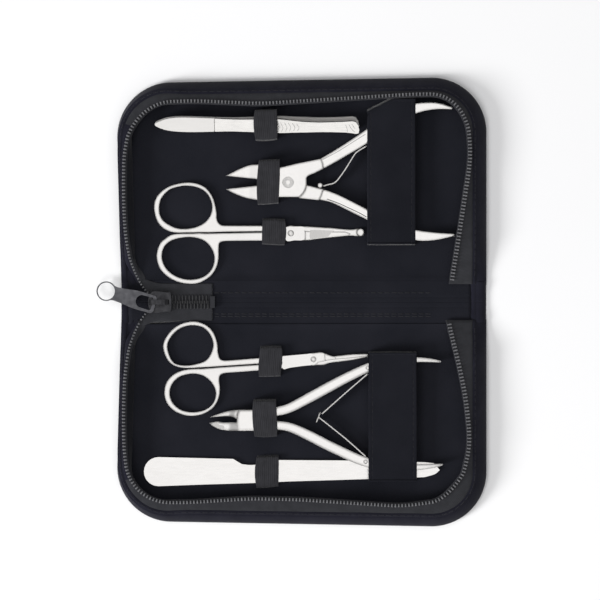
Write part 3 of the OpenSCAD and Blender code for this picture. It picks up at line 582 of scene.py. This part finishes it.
def studio():
    """A pale studio, brightest overhead, with a softbox in front that the tweezers' tilted faces mirror."""
    world = bpy.data.worlds.new("studio")
    world.use_nodes = True
    bpy.context.scene.world = world
    tree = world.node_tree
    background = tree.nodes["Background"]
    sky = tree.nodes.new("ShaderNodeTexCoord")
    split = tree.nodes.new("ShaderNodeSeparateXYZ")
    tree.links.new(sky.outputs["Generated"], split.inputs[0])
    shade = tree.nodes.new("ShaderNodeValToRGB")
    sky_stops = [(0.0, 0.12), (0.5, 0.28), (0.8, 0.58), (0.93, 0.84), (0.99, 1.0)]
    while len(shade.color_ramp.elements) < len(sky_stops):
        shade.color_ramp.elements.new(0.5)
    for element, (height, level) in zip(shade.color_ramp.elements, sky_stops):
        element.position = height
        element.color = (level, level, level * 1.01, 1)
    tree.links.new(split.outputs["Z"], shade.inputs["Fac"])
    aim = tree.nodes.new("ShaderNodeVectorMath")
    aim.operation = "DOT_PRODUCT"
    aim.inputs[1].default_value = (0.0, -0.899, 0.438)
    tree.links.new(sky.outputs["Generated"], aim.inputs[0])
    softbox = tree.nodes.new("ShaderNodeValToRGB")
    softbox.color_ramp.elements[0].position = 0.9
    softbox.color_ramp.elements[1].position = 0.97
    tree.links.new(aim.outputs["Value"], softbox.inputs["Fac"])
    both = tree.nodes.new("ShaderNodeMix")
    both.data_type = "RGBA"
    both.blend_type = "LIGHTEN"
    both.inputs[0].default_value = 1.0
    tree.links.new(shade.outputs["Color"], both.inputs[6])
    tree.links.new(softbox.outputs["Color"], both.inputs[7])
    tree.links.new(both.outputs[2], background.inputs["Color"])
    background.inputs["Strength"].default_value = 1.0
    bpy.context.scene.view_settings.view_transform = "Standard"


studio()

floor_mat = Mat("floor", 0.6, specular=0.1)
floor_mat.ramp(floor_mat.noise(3, 2), [(0.3, (0.90, 0.90, 0.905)), (0.7, (0.92, 0.92, 0.92))])
floor_reach = 3000
floor_corners = [(x * floor_reach, y * floor_reach, -0.02) for x, y in ((-1, -1), (1, -1), (1, 1), (-1, 1))]
make("floor", (floor_corners, [(0, 1, 2, 3)], None), floor_mat.mat)


# Covers: a padded wall of cloth round each half, its binding, and the flat back

def wall_profile(d):
    """Section of the cover's wall at distance d, as (inset, height), from its foot round the outside."""
    r, z, f = rim_inset(d), rim_z(d), foot_inset(d)
    h = z - 0.5
    step = min(1.0, h / 3)
    points = [
        (f, 0.3), (f - 0.6, 0.09), (1.6, 0.07), (0.5, 0.16), (0.0, 0.55), (0.06, 0.5 + 0.3 * h),
        ((r - 1.6) * 0.42, 0.5 + h * 0.66), (r - 2.3, z - 0.62 * step), (r - 1.86, z - 0.55 * step),
        (r - 1.72, z - 0.34 * step), (r - 1.3, z - 0.06), (r - 0.7, z), (r - 0.15, z - 0.08),
        (r + 0.1, z - 0.5 * step), (r + 0.6, z - 1.0 * step),
        (lerp(r, f, 0.75), lerp(z, panel_z, 0.8)), (f, panel_z - 0.05),
    ]
    return curve(points, 2)


def cover_half(side):
    """The padded wall of one half, with a slight unevenness."""
    rings = []
    for d in stations(0.25, edge_len - 0.2, 1.8, 1.0):
        ring = []
        for inset, z in wall_profile(d):
            x, y = inset_at(d, inset)
            puff = wobble((x, y * side, z), 9, 0.16, 2.0 * side) * smoothstep(0.3, 2.5, z)
            ring.append((x, y, max(0.0, z + puff)))
        rings.append(ring)
    return loft(rings)


def filled(outline, z, spacing, lift=None, flip_it=False):
    """A flat sheet inside an outline, with inner points on a grid, as triangles."""
    ring = np.array([tuple(p) for p in outline], float)
    points = [Vector(p) for p in ring]
    low, high = ring.min(0), ring.max(0)
    a, b = ring, np.roll(ring, -1, axis=0)
    run = b[:, 0] - a[:, 0]
    rise = np.where(b[:, 1] == a[:, 1], 1e-9, b[:, 1] - a[:, 1])
    for x in np.arange(low[0] + spacing / 2, high[0], spacing):
        for y in np.arange(low[1] + spacing / 2, high[1], spacing):
            crosses = (a[:, 1] > y) != (b[:, 1] > y)
            cut = a[:, 0] + (y - a[:, 1]) / rise * run
            inside = (crosses & (cut > x)).sum() % 2 == 1
            nearest = np.min(np.hypot(ring[:, 0] - x, ring[:, 1] - y))
            if inside and nearest > spacing * 0.5:
                points.append(Vector((x, y)))
    n = len(ring)
    edges = [(i, (i + 1) % n) for i in range(n)]
    co, _, faces, _, _, _ = delaunay_2d_cdt(points, edges, [list(range(n))], 1, 1e-5)
    verts = [(p.x, p.y, z + (lift(p.x, p.y) if lift else 0)) for p in co]
    faces = [tuple(f) for f in faces]
    if flip_it:
        faces = flip(faces)
    return verts, faces, [(p.x, p.y) for p in co]


# Y at which the spine's pieces meet those of the halves
SPINE_EDGE = 9.6


def half_outline(inset, foot=False):
    """Outline of a half, inset from its edge or, with foot, by as much outside the foot of its wall."""
    start = SPINE_EDGE - fold
    return [inset_at(d, foot_inset(d) - inset if foot else inset)
            for d in stations(start, edge_len - start, 3, 1.2)]


for side, half in ((1, "upper"), (-1, "lower")):
    wall = make(f"{half}_cover_wall", on_half(side, cover_half(side)), M_cover, f"{half}_half",
                replaces=(f"{half}_cover",))
    outside = filled(half_outline(1.2), 0.0, 6, flip_it=True)
    inside = filled(half_outline(1.0), 0.5, 12)
    back = on_half(side, join([outside, inside]))
    sheet = make(f"{half}_cover_back", back, M_cover, f"{half}_half")
    cloth(sheet, case_w, 89)


# Linings of the trays

def lining_lift(side):
    """Heights of the velvet, uneven and turned up a little where it meets the wall."""
    def lift(x, y):
        edge = min(abs(x - left_x - 6.3), abs(right_x - 7 - x), abs(half_left - 6 - y))
        return wobble((x, y * side, 0), 16, 0.05, 5.0) - 0.03 + 0.5 * smoothstep(2.2, 0.0, edge)
    return lift


for side, half in ((1, "upper"), (-1, "lower")):
    velvet = filled(half_outline(0.3, foot=True), panel_z, 2.4, lining_lift(side))
    sheet = make(f"{half}_velvet", on_half(side, velvet), M_velvet, f"{half}_half",
                 replaces=(f"{half}_lining",))


# Zip: tapes, teeth and sewn edges of the two halves

def tape_profile(d, side):
    """Section of the opened tape at distance d, as (inset, height), from the rim to its inner edge.

    Three sections are mixed: along the top and right, on the left, and low near the throat.
    """
    r, z, f = rim_inset(d), rim_z(d), foot_inset(d)
    te, tz = teeth_inset(d, side), teeth_z(d) - 0.04
    near = smoothstep(13, 4, d)
    top = [
        (r - 0.3, z - 0.3), (r + 0.45, z + 0.2), (lerp(r + 0.4, te, 0.55), lerp(z + 0.3, tz, 0.6)),
        (te, tz), (te + 0.9, tz), (te + 1.15, tz - 0.18), (te + 1.3, tz - 0.4),
    ]
    inner_z = lerp(z, panel_z, 0.55)
    left = [
        (r - 0.5, z - 0.1), (te - 1.1, tz - 0.12), (te - 0.2, tz), (te + 0.9, tz - 0.1),
        (te + 1.7, tz - 1.1), (lerp(te + 1.7, f, 0.6), inner_z), (f + 0.1, panel_z + 0.1),
    ]
    low = [
        (te - 1.5, tz - 0.3), (te - 1.1, tz - 0.1), (te - 0.5, tz), (te + 1, tz - 0.02),
        (te + 1.8, tz - 0.3), (te + 2.6, panel_z + 0.32), (te + 3.4, panel_z + 0.1),
    ]
    k = lookup(d, [[run_1 - 12, 1], [end_1 + 4, 0]])
    points = []
    for a, b, c in zip(top, left, low):
        p = lerp(np.array(a), np.array(b), k * k * (3 - 2 * k))
        points.append(lerp(p, np.array(c), near))
    return points


tape_marks = stations(0.35, edge_len - 0.5, 1.6, 1.0)

# Up to last_row the tape's edge is covered by the rim's cloth as far as RIM_COLUMN. From first_row it also
# turns down into the tray, where the tray's velvet covers it from TRAY_COLUMN on.
first_row = sum(d < 9 for d in tape_marks)
last_row = sum(d < run_1 + 6 for d in tape_marks)
RIM_COLUMN = 5
TRAY_COLUMN = 11


def tape_half(side):
    """The opened tape of one half, with a slight unevenness."""
    rings = []
    for d in tape_marks:
        ring = []
        for inset, z in curve(tape_profile(d, side), 3):
            x, y = inset_at(d, inset)
            ring.append((x, y, z + wobble((x, y * side, z), 6, 0.05, 9.0)))
        ring += [(p[0], p[1], p[2] - 0.34) for p in reversed(ring)]
        rings.append(ring)
    return loft(rings)


def tooth():
    """Rings of one moulded tooth: x along the tape, y across it with the head inwards, z up."""
    outline = [
        (-0.30, -1.0), (0.30, -1.0), (0.39, -0.86), (0.39, -0.1), (0.30, 0.15), (0.24, 0.4),
        (0.36, 0.62), (0.36, 0.84), (0.22, 1.0), (-0.22, 1.0), (-0.36, 0.84), (-0.36, 0.62),
        (-0.24, 0.4), (-0.30, 0.15), (-0.39, -0.1), (-0.39, -0.86),
    ]
    rings = []
    for z, k in ((0.0, 0.86), (0.1, 1.0), (0.72, 1.0), (0.93, 0.82), (1.0, 0.45)):
        rings.append([(x * k, y * (1 - (1 - k) * 0.45), z) for x, y in outline])
    return rings


def place(rings, p, yaw, pitch, flip_y):
    """Rings moved to p and turned; with flip_y of -1 they are mirrored across the tape first."""
    c, s = math.cos(yaw), math.sin(yaw)
    cp, sp = math.cos(pitch), math.sin(pitch)
    out = []
    for ring in rings:
        row = []
        for x, y, z in ring:
            y *= flip_y
            xx, zz = x * cp - z * sp, x * sp + z * cp
            row.append((p[0] + xx * c - y * s, p[1] + xx * s + y * c, p[2] + zz))
        out.append(row)
    verts, faces, uv = loft(out)
    return (verts, faces, uv) if flip_y == -1 else (verts, flip(faces), uv)


teeth_stations = stations(0.6, edge_len - 0.6, 4, 1.9)


def teeth_half(side, shift):
    """The row of teeth of one half; shift sets the two rows half a pitch apart."""
    parts = []
    shape = tooth()
    teeth_line = [(*inset_at(d, teeth_inset(d, side)), teeth_z(d)) for d in teeth_stations]
    teeth_runs = along(teeth_line)
    s = 0.8 + shift
    while s <= teeth_runs[-1] - 0.8:
        p = at_length(teeth_line, teeth_runs, s)
        v = at_length(teeth_line, teeth_runs, s + 0.4) - at_length(teeth_line, teeth_runs, s - 0.4)
        long = lookup(s, [
            [0, 0.42], [8, 0.45], [24, 0.72], [run_1, 0.74], [end_1, 0.72], [end_2, 0.72], [end_3, 0.95],
        ])
        tall = lookup(s, [[0, 0.55], [12, 0.7], [20, 1]])
        sized = [[(x, y * long, z * tall) for x, y, z in ring] for ring in shape]
        parts.append(place(sized, p, math.atan2(v[1], v[0]), math.atan2(v[2], math.hypot(v[0], v[1])), -1))
        s += tooth_pitch
    return join(parts)


def rim_stitches():
    """The fine seam along the binding of the rim."""
    points = []
    for d in stations(7, edge_len - 4, 3, 1.5):
        x, y = inset_at(d, rim_inset(d) - 1.15)
        points.append((x, y, rim_z(d) + 0.02))
    return stitches(points, 2.3, 0.8, 0.08, 0.04)


for side, half in ((1, "upper"), (-1, "lower")):
    tape = make(f"{half}_tape", on_half(side, tape_half(side)), M_tape, f"{half}_half",
                replaces=(f"{half}_zip_tape",))
    tape.data.materials.append(M_velvet)
    tape.data.materials.append(M_cover)
    ring_n = 2 * len(curve(tape_profile(0, side), 3))
    for f in tape.data.polygons:
        row, column = divmod(min(f.vertices), ring_n)
        if first_row < row < last_row and TRAY_COLUMN <= column < ring_n - TRAY_COLUMN - 1:
            f.material_index = 1
        elif row < last_row and column < RIM_COLUMN:
            f.material_index = 2
    cloth(tape, 10, 345)
    teeth = teeth_half(side, 0 if side == 1 else tooth_pitch / 2)
    make(f"{half}_teeth", on_half(side, teeth), M_teeth, f"{half}_half",
         replaces=(f"{half}_zip_teeth",))
    make(f"{half}_rim_stitches", on_half(side, rim_stitches()), M_thread, f"{half}_half")


# Spine: cloth and lining that cross the two fold lines, in two pieces each


def blend_over_fold(piece):
    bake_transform(piece)


def spine_lift(x, y):
    """Unevenness of the spine's velvet, drawn in along its two seams."""
    seam = 0.12 * math.exp(-((abs(y) - 2.2) / 0.5) ** 2) if x > -38 else 0
    return wobble((x, y, 0), 14, 0.07, 3.0) - seam


def spine_rim(x, low):
    """Height of the spine's cloth, turned up at its ends; low is how far it sinks between the folds."""
    right = lookup(right_x - x, [
        [0, 0.5], [0.3, 1.3], [1, 2.0], [2, 2.35], [3.9, 2.45], [4.4, 2.3], [4.8, 2.42], [5.9, 2.4],
        [6.5, 1.9], [7.2, 0.5],
    ])
    left = lookup(x - left_x, [
        [0, 0.5], [0.3, 1.1], [0.9, 1.5], [2, 1.66], [2.6, 1.62], [3.3, 1.3], [4.2, 0.5],
    ])
    return max(0.45, right - low, left - low * 0.4)


def spine_cloth(side):
    """Half of the spine's outer cloth, from the middle to just beyond its fold."""
    ends = [0, 0.12, 0.3, 0.6, 1, 1.6, 2.3, 3, 3.9, 4.2, 4.5, 4.8, 5.4, 6, 6.4, 6.8, 7.2, 8]
    between_ends = list(np.linspace(left_x + 10, right_x - 10, 30))
    xs = [left_x + e for e in ends] + between_ends + [right_x - e for e in ends[::-1]]
    rings = []
    for y in np.linspace(0, SPINE_EDGE - 0.6, 30):
        low = 0.5 * smoothstep(8, 2, y)
        top = [(x, y, spine_rim(x, low) + wobble((x, y * side, 0), 5, 0.08, 7.0)) for x in xs]
        rings.append(top + [(x, y, 0.0) for x in reversed(xs)])
    return loft(rings)


def spine_velvet():
    """Half of the spine's lining, from the middle to just beyond its fold."""
    xs = np.linspace(left_x + 3.1, right_x - 6.3, 80)
    rings = []
    for y in np.linspace(0, SPINE_EDGE + 0.2, 34):
        top = [(x, y, panel_z + spine_lift(x, y)) for x in xs]
        rings.append(top + [(x, y, panel_z - 0.3) for x in reversed(xs)])
    return loft(rings)


def spine_pieces(side, half):
    back = make(f"{half}_spine_cloth", on_half(side, spine_cloth(side)), M_cover)
    blend_over_fold(back)
    cloth(back, 9.7, case_w)
    velvet = make(f"{half}_spine_velvet", on_half(side, spine_velvet()), M_velvet)
    blend_over_fold(velvet)
    cloth(velvet, 9.8, 151.4)
    return back, velvet


spine_pieces(-1, "lower")
upper_cloth, upper_velvet = spine_pieces(1, "upper")
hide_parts("spine_cover")
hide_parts("spine_lining")

spine_seams = []
seam_rows = (-6.3, -5.2, 4.1)
for y in seam_rows:
    seam_line = [(x, y, panel_z + 0.06) for x in np.linspace(-38.4, 60, 60)]
    spine_seams.append(stitches(seam_line, 2.2, 0.8, 0.14, 0.07))
make("spine_stitches", join(spine_seams), M_thread, "spine")

# Joined length of the zip. The throat gives the left edge of its tape by distance from the middle.
tape_end_x = -38.9
chain_start_x = -56.6
chain_teeth = 22
chain_z = panel_z + tape_t
throat = [[0, -65.8], [2.4, -66.6], [3.6, -67.4], [5, -68.6], [7, -70.1], [8.6, -71.2], [10, -72]]


def joined_tape():
    """Half of the joined tape, flaring at its left end into the tape of its half."""
    rings = []
    for v in np.linspace(0, 1, 26):
        start = lookup(v * 9.6, throat)
        ring = []
        for u in np.linspace(0, 1, 52):
            x = lerp(start, tape_end_x, u)
            y = v * (8.2 + 1.9 * smoothstep(-60, -69, x) ** 2)
            rise = 0.16 * smoothstep(-65, -70, x) + wobble((x, y, 0), 5, 0.09, 4.0)
            ring.append((x, y, chain_z + rise - 0.12 * smoothstep(0.92, 1, v)))
        ring += [(p[0], p[1], panel_z + 0.05) for p in reversed(ring)]
        rings.append(ring)
    return loft(rings)


def throat_teeth():
    """The last teeth of a half, on their way from its tape into the slider."""
    d = 0.9
    start = (*inset_at(d, teeth_inset(d, 1)), teeth_z(d))
    line = curve([start, (-69.3, 6.3, 1.9), (-68.2, 4.9, 1.85), (-66.8, 3.5, 1.8)], 6)
    runs = along(line)
    shape = [[(x, y * 0.42, z * 0.55) for x, y, z in ring] for ring in tooth()]
    parts = []
    for s in np.arange(d, runs[-1] + 0.1, tooth_pitch):
        v = at_length(line, runs, s + 0.4) - at_length(line, runs, s - 0.4)
        parts.append(place(shape, at_length(line, runs, s), math.atan2(v[1], v[0]) + math.pi, 0.0, -1))
    return join(parts)


for side, half in ((1, "upper"), (-1, "lower")):
    piece = make(f"{half}_joined_tape", on_half(side, joined_tape()), M_tape)
    blend_over_fold(piece)
    cloth(piece, 8.2, 31.4)
    if side == 1:
        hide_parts("joined_zip_tape")
    piece = make(f"{half}_throat_teeth", on_half(side, throat_teeth()), M_teeth)
    blend_over_fold(piece)

parts = []
shape = [[(x * 0.7, y * 1.9, z * 0.95 + 0.02) for x, y, z in ring] for ring in tooth()]
for i in range(chain_teeth):
    sign = 1 if i % 2 == 0 else -1
    where = (chain_start_x + i * tooth_pitch / 2, sign * 1.15, chain_z)
    parts.append(place(shape, where, 0.0, 0.0, -sign))
make("joined_teeth", join(parts), M_joined, "spine", replaces=("joined_zip_teeth",))
seam_line = [(tape_end_x - 0.1, y, chain_z + 0.06) for y in np.linspace(-7.6, 7.6, 12)]
make("joined_tape_stitches", stitches(seam_line, 1.8, 0.6, 0.14, 0.06), M_thread, "spine")


# Elastic loops and handle straps

def arch_path(y0, y1, top, lean, n):
    """The (y, z) line of a band from the lining at y0 over its tool to the lining at y1."""
    foot = panel_z - 0.05
    half_way = (foot + top) / 2
    steep = lean * 0.3
    points = [
        (y0 - 0.2, foot), (y0 + steep * 0.2, foot + 0.25), (y0 + steep * 0.5, half_way),
        (y0 + steep * 0.7, top - 0.8), (y0 + steep, top - 0.25), (y0 + steep + 0.35, top - 0.03),
        (y0 + lean + 2, top), ((y0 + y1) / 2, top + 0.02), (y1 - lean - 2, top),
        (y1 - lean - 0.7, top - 0.03), (y1 - lean * 0.9, top - 0.25), (y1 - lean * 0.55, top - 0.8),
        (y1 - lean * 0.25, half_way), (y1 + 0.15, foot + 0.25), (y1 + 0.5, foot),
    ]
    return curve(points, n)


def web(x0, x1, path_at, thick, columns, surface):
    """A band from x0 to x1; path_at(x) gives its (y, z) line, surface(u, s) how high its face stands."""
    rows = []
    for u in np.linspace(0, 1, columns):
        x = lerp(x0, x1, u)
        path = np.array(path_at(x))
        tangent = np.gradient(path, axis=0)
        tangent /= np.linalg.norm(tangent, axis=1)[:, None]
        normal = np.stack([-tangent[:, 1], tangent[:, 0]], axis=1)
        s = along(path)
        outer = [path[i] + normal[i] * surface(u, s[i]) for i in range(len(path))]
        inner = [path[i] - normal[i] * thick for i in range(len(path))]
        rows.append([(x, p[0], p[1]) for p in outer] + [(x, p[0], p[1]) for p in reversed(inner)])
    verts, faces, uv = loft(rows)
    return verts, flip(faces), [(v, u) for u, v in uv]


RIBS = 12


def rib(u, s):
    """Ribbed face of the elastic, a little narrower at its two selvedges."""
    edge = smoothstep(0, 0.06, u) * smoothstep(1, 0.94, u)
    line = RIBS * u + 0.12 * math.sin(s * 0.9) + 0.1 * math.sin(s * 0.37 + 2)
    return 0.02 + edge * (0.14 * abs(math.sin(math.pi * line)) ** 0.8 - 0.04)


def elastic_loop(name, x, y, top, lean, body, moving=None):
    """A ribbed band over the tool that it holds; given moving, it is not attached to its body."""
    narrow = 0.25

    def path_at(px):
        u = (px - x[0]) / (x[1] - x[0])
        bow = 0.12 * math.sin(math.pi * u)
        slant = 0.35 * math.sin(2.2 * u + x[0])
        return arch_path(y[0] + 0.3 - bow * 2 + slant, y[1] + bow + slant * 0.6, top + bow - 0.12, lean, 5)

    middle, reach = (x[0] + x[1]) / 2, (y[1] - y[0]) / 2

    def barrel(v):
        """The band is a little narrower towards its sewn ends, and not quite straight."""
        t = (v[1] - y[0] - reach) / reach
        side = (v[0] - middle) / (x[1] - x[0])
        return (v[0] - side * 0.9 * t * t + 0.3 * math.sin(1.7 * t + x[0]), v[1], v[2])

    verts, faces, uv = web(x[0] + narrow, x[1] - narrow, path_at, 0.45, RIBS * 6 + 1, rib)
    band = [barrel(v) for v in verts], faces, uv
    piece = make(f"{name}_web", band, M_elastic, replaces=(name,))
    if moving:
        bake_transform(piece)
    else:
        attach(piece, body)
    length = float(along(arch_path(y[0], y[1], top, lean, 5))[-1])
    cloth(piece, x[1] - x[0], length)


elastic_loop("tweezer_loop", (-20.7, -9.8), (71.2, 84.7), tweezer_top, 0.9, "upper_half")
elastic_loop("nail_nipper_loop", (-19.4, -8.9), (42.9, 62.3), nipper_top, 0.5, "upper_half")
elastic_loop("ball_scissor_loop", (-17.6, -6.4), (25, 36.2), scissor_top, 0.6, "upper_half",
             moving="ball_scissor_moving")
elastic_loop("cuticle_scissor_loop", (-18.8, -8), (-33.1, -19.9), scissor_top, 0.6, "lower_half",
             moving="cuticle_scissor_moving")
elastic_loop("cuticle_nipper_loop", (-21.3, -10), (-59.1, -43), nipper_top, 0.7, "lower_half")
elastic_loop("file_loop", (-20.2, -9.2), (-81.6, -68), file_top, 0.4, "lower_half")


def handle_strap(name, x0, x1, y_low, y_high, lean, body):
    """A wide velvet strap over two handles; y_high(x) is its far foot, which may run askew."""
    def path_at(px):
        return arch_path(y_low, y_high(px), strap_top - 0.08, lean, 6)

    def face(u, s):
        edge = smoothstep(0, 0.03, u) * smoothstep(1, 0.97, u)
        seam = math.exp(-((min(u, 1 - u) - 0.075) / 0.012) ** 2)
        return 0.02 + 0.1 * edge - 0.09 * seam + wobble((u * 21, s, 0), 8, 0.07, 6.0)

    band = web(x0, x1, path_at, 0.5, 70, face)
    piece = make(f"{name}_velvet", band, M_strap, body, replaces=(name,))
    length = float(along(path_at(x1))[-1])
    cloth(piece, x1 - x0, length)
    seams = []
    for px in (x0 + 1.6, x1 - 1.6):
        line = [(px, p[0], p[1] + 0.06) for p in path_at(px) if p[1] > strap_top - 0.6]
        seams.append(stitches(line, 2.2, 0.9, 0.08, 0.03))
    make(f"{name}_stitches", join(seams), M_thread, body)


handle_strap("upper_handle_strap", 29.2, 50.4, 25.1, lambda x: min(90.4, 84 + (x - 28) * 0.5), 1.4,
             "upper_half")
handle_strap("lower_handle_strap", 29.8, 51, -78.7, lambda x: -22.0, 0.5,
             "lower_half")


# CAD nodes that stay: metal parts with rounded edges and their finishes

def finish_node(name, material, bevel=0.0, segments=3):
    """Gives a CAD node its material and, unless bevel is 0, rounded edges."""
    node = nodes[name]
    node.data.materials.clear()
    node.data.materials.append(material)
    if bevel:
        node.data.shade_smooth()
        mod = node.modifiers.new("edge", "BEVEL")
        mod.width = bevel * MM
        mod.segments = segments
        mod.limit_method = "ANGLE"
        mod.angle_limit = math.radians(28)
        mod.harden_normals = True
        mod.use_clamp_overlap = True


for name in ("lower_board", "upper_board", "spine_board"):
    finish_node(name, M_board)
finish_node("zip_pull", M_gun, 0.22)
finish_node("zip_slider", M_slider, 0.22)
finish_node("zip_bottom_stop", M_tape, 0.22)
for name in ("ball_scissor_blade", "ball_scissor_moving_blade", "cuticle_scissor_blade",
             "cuticle_scissor_moving_blade"):
    finish_node(name, M_polish, 0.35)
for name in ("ball_scissor_screw", "cuticle_scissor_screw", "nail_nipper_pin", "cuticle_nipper_pin",
             "nail_nipper_spring_screw", "cuticle_nipper_spring_screw",
             "cuticle_nipper_moving_spring_screw"):
    finish_node(name, M_polish, 0.06, 2)
for name in ("nail_nipper_half", "nail_nipper_moving_half"):
    finish_node(name, M_forged, 0.4)
for name in ("cuticle_nipper_half", "cuticle_nipper_moving_half"):
    finish_node(name, M_round, 0.4)


def bending_spring(name):
    """A leaf spring with the CAD part's own mesh, its long edges cut finer."""
    fine = bmesh.new()
    fine.from_mesh(nodes[name].data)
    long_edges = [e for e in fine.edges if e.calc_length() > 3 * MM]
    bmesh.ops.subdivide_edges(fine, edges=long_edges, cuts=9, use_grid_fill=True)
    fine.verts.index_update()
    verts = [v.co / MM for v in fine.verts]
    faces = [[v.index for v in f.verts] for f in fine.faces]
    fine.free()
    leaf = verts, faces, [(v[0], v[1]) for v in verts]
    piece = make(f"{name}_leaf", leaf, M_polish, replaces=(name,), smooth=False)
    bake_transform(piece)


bending_spring("nail_nipper_spring")
# The two springs of the cuticle nippers meet in a hook
bending_spring("cuticle_nipper_spring")
bending_spring("cuticle_nipper_moving_spring")
# The back arm's half-matt paleness is painted light, standing in for the bright reflection that the front
# arm hides.
finish_node("tweezer_back_arm", M_back_painted_light, 0.12, 2)
finish_node("tweezer_front_arm", M_satin, 0.12, 2)
finish_node("nail_file", M_satin, 0.25)


# Engraved lines, lines of painted shade along edges, and ground faces on the tools, laid on the top faces
# of the CAD parts

def body_of(node):
    """The CAD body that a node rides on."""
    return next(b for b, names in frame["record"]["behaviour"]["bodies"].items() if node in names)


def surface_of(name):
    """The top faces of a CAD node, to be searched by height_on()."""
    mesh = nodes[name].data
    return BVHTree.FromPolygons([v.co for v in mesh.vertices], [tuple(f.vertices) for f in mesh.polygons])


def height_on(surface, x, y):
    """Height of a surface seen from above, or None beside it."""
    hit = surface.ray_cast(Vector((x * MM, y * MM, 0.05)), Vector((0, 0, -1)))
    return None if hit[0] is None else hit[0].z / MM


def higher(pair, x, y):
    """The one of two parts whose top face is the higher at a point."""
    return max(pair, key=lambda n: height_on(surface_of(n), x, y) or 0)


def lay_dark_lines(name, node, lines, radius):
    """Dark lines that follow the top of a CAD node: engraved lines, and lines of painted shade along edges.
    """
    surface = surface_of(node)
    parts = []
    for line in lines:
        fine = curve([(x, y, 0) for x, y in line], 8)
        on = [(x, y, height_on(surface, x, y)) for x, y, _ in fine]
        on = [(x, y, z - radius * 0.55) for x, y, z in on if z is not None]
        if len(on) > 2:
            parts.append(tube(on, radius))
    make(name, join(parts), M_line, body_of(node))


def ground_face(name, parts, top_part, outline, material, rise):
    """A thin face of its own finish, laid on the highest of the given parts; it rides with the top part."""
    surfaces = [surface_of(part) for part in parts]

    def lift(x, y):
        return max((height_on(k, x, y) or 0) for k in surfaces)

    top = max(lift(x, y) for x, y in outline)
    smooth = [p[:2] for p in curve([(x, y, 0) for x, y in outline + outline[:1]], 4)][:-1]
    face = filled(smooth, rise, 0.8, lambda x, y: lift(x, y) if lift(x, y) > top - 0.6 else top)
    make(name, face, material, body_of(top_part))


chevrons = [[(x - 1.1, 78.9 - k * 0.15), (x, 76.7), (x - 0.6, 74.9 + k * 0.1)]
            for k, x in enumerate((-7.9, -6.1, -4.4, -2.6, -0.8))]
grip_lines = [
    [(19.7, 77.7), (20.3, 76.1), (20.5, 74.8)], [(21.1, 77.8), (21.8, 76.8), (22.7, 75.6), (23.8, 74.6)],
    [(22.4, 78.2), (23, 77.2), (23.8, 76.1)],
]
lay_dark_lines("tweezer_lines", "tweezer_front_arm", chevrons + grip_lines, 0.08)


def far_edge(node, x0, x1, y0, y1, inside):
    """A line along the edge of a part, found by going from y0 towards y1 at each x."""
    surface = surface_of(node)
    line = []
    for x in np.linspace(x0, x1, 24):
        found = [y for y in np.linspace(y0, y1, 60) if height_on(surface, x, y) is not None]
        if found:
            line.append((x, found[0] - inside))
    return line


# A dark line painted along the front arm's far edge stands for the shadow between the two arms; the steel
# has no groove there.
arm_edge = far_edge("tweezer_front_arm", -36, 21, 84, 74, 0.1)
lay_dark_lines("tweezer_edge_painted_shadow", "tweezer_front_arm", [arm_edge], 0.1)
# Dark lines painted along the nail nippers' handles, where their bevelled edges turn from the light:
# painted shade, not engraving.
upper_shade_line = [(9.6, 62.6), (12, 63.9), (16.8, 66.5), (28.4, 73.8)]
lay_dark_lines("nail_nipper_upper_painted_shade", "nail_nipper_half", [upper_shade_line], 0.13)
lower_shade_line = [(11.5, 45.3), (16.4, 43.5), (21, 41.4), (25.7, 39.2), (28.9, 37.4)]
lay_dark_lines("nail_nipper_lower_painted_shade", "nail_nipper_moving_half", [lower_shade_line], 0.24)

pair = ("ball_scissor_blade", "ball_scissor_moving_blade")
upper = higher(pair, 8, 30)
blade_face = [
    (4.1, 31.8), (7.6, 31.8), (11.1, 31.6), (14.6, 31.4), (13.5, 30.6), (12.6, 29.4), (11.5, 28.7),
    (7.6, 28.2), (4.1, 28),
]
ground_face("ball_scissor_ground_face", [upper], upper, blade_face, M_ground, 0.02)
plate = [(-6.5, 33), (-2.6, 33.1), (1.2, 33), (1.4, 30), (1.2, 27.4), (-2.6, 27.2), (-6.5, 27.2)]
ground_face("ball_scissor_plate", pair, upper, plate, M_polish, 0.03)
lay_dark_lines("ball_scissor_lines", upper, [[(2.1, 32.4), (2.2, 30), (2.1, 27.8)]], 0.1)

pair = ("cuticle_scissor_blade", "cuticle_scissor_moving_blade")
upper = higher(pair, 5.4, -24.2)
plate = [
    (-7.9, -23.9), (-4.7, -23.6), (1.8, -23), (5, -22.8), (5.6, -25.2), (4.8, -27.6), (1.8, -28),
    (-4.7, -28.9), (-7.9, -29.3),
]
ground_face("cuticle_scissor_plate", pair, upper, plate, M_polish, 0.04)
lay_dark_lines("cuticle_scissor_lines", upper, [[(14.6, -23.3), (15.1, -24.4), (15.9, -25.6)]], 0.13)

pair = ("cuticle_nipper_half", "cuticle_nipper_moving_half")
jaw_part = higher(pair, -35.5, -54.6)
jaw = [(-39.3, -53.8), (-36.9, -53.1), (-35.8, -54), (-33.9, -54.4), (-33.9, -55.8), (-36.9, -55)]
ground_face("cuticle_nipper_edge", [jaw_part], jaw_part, jaw, M_ground, 0.02)
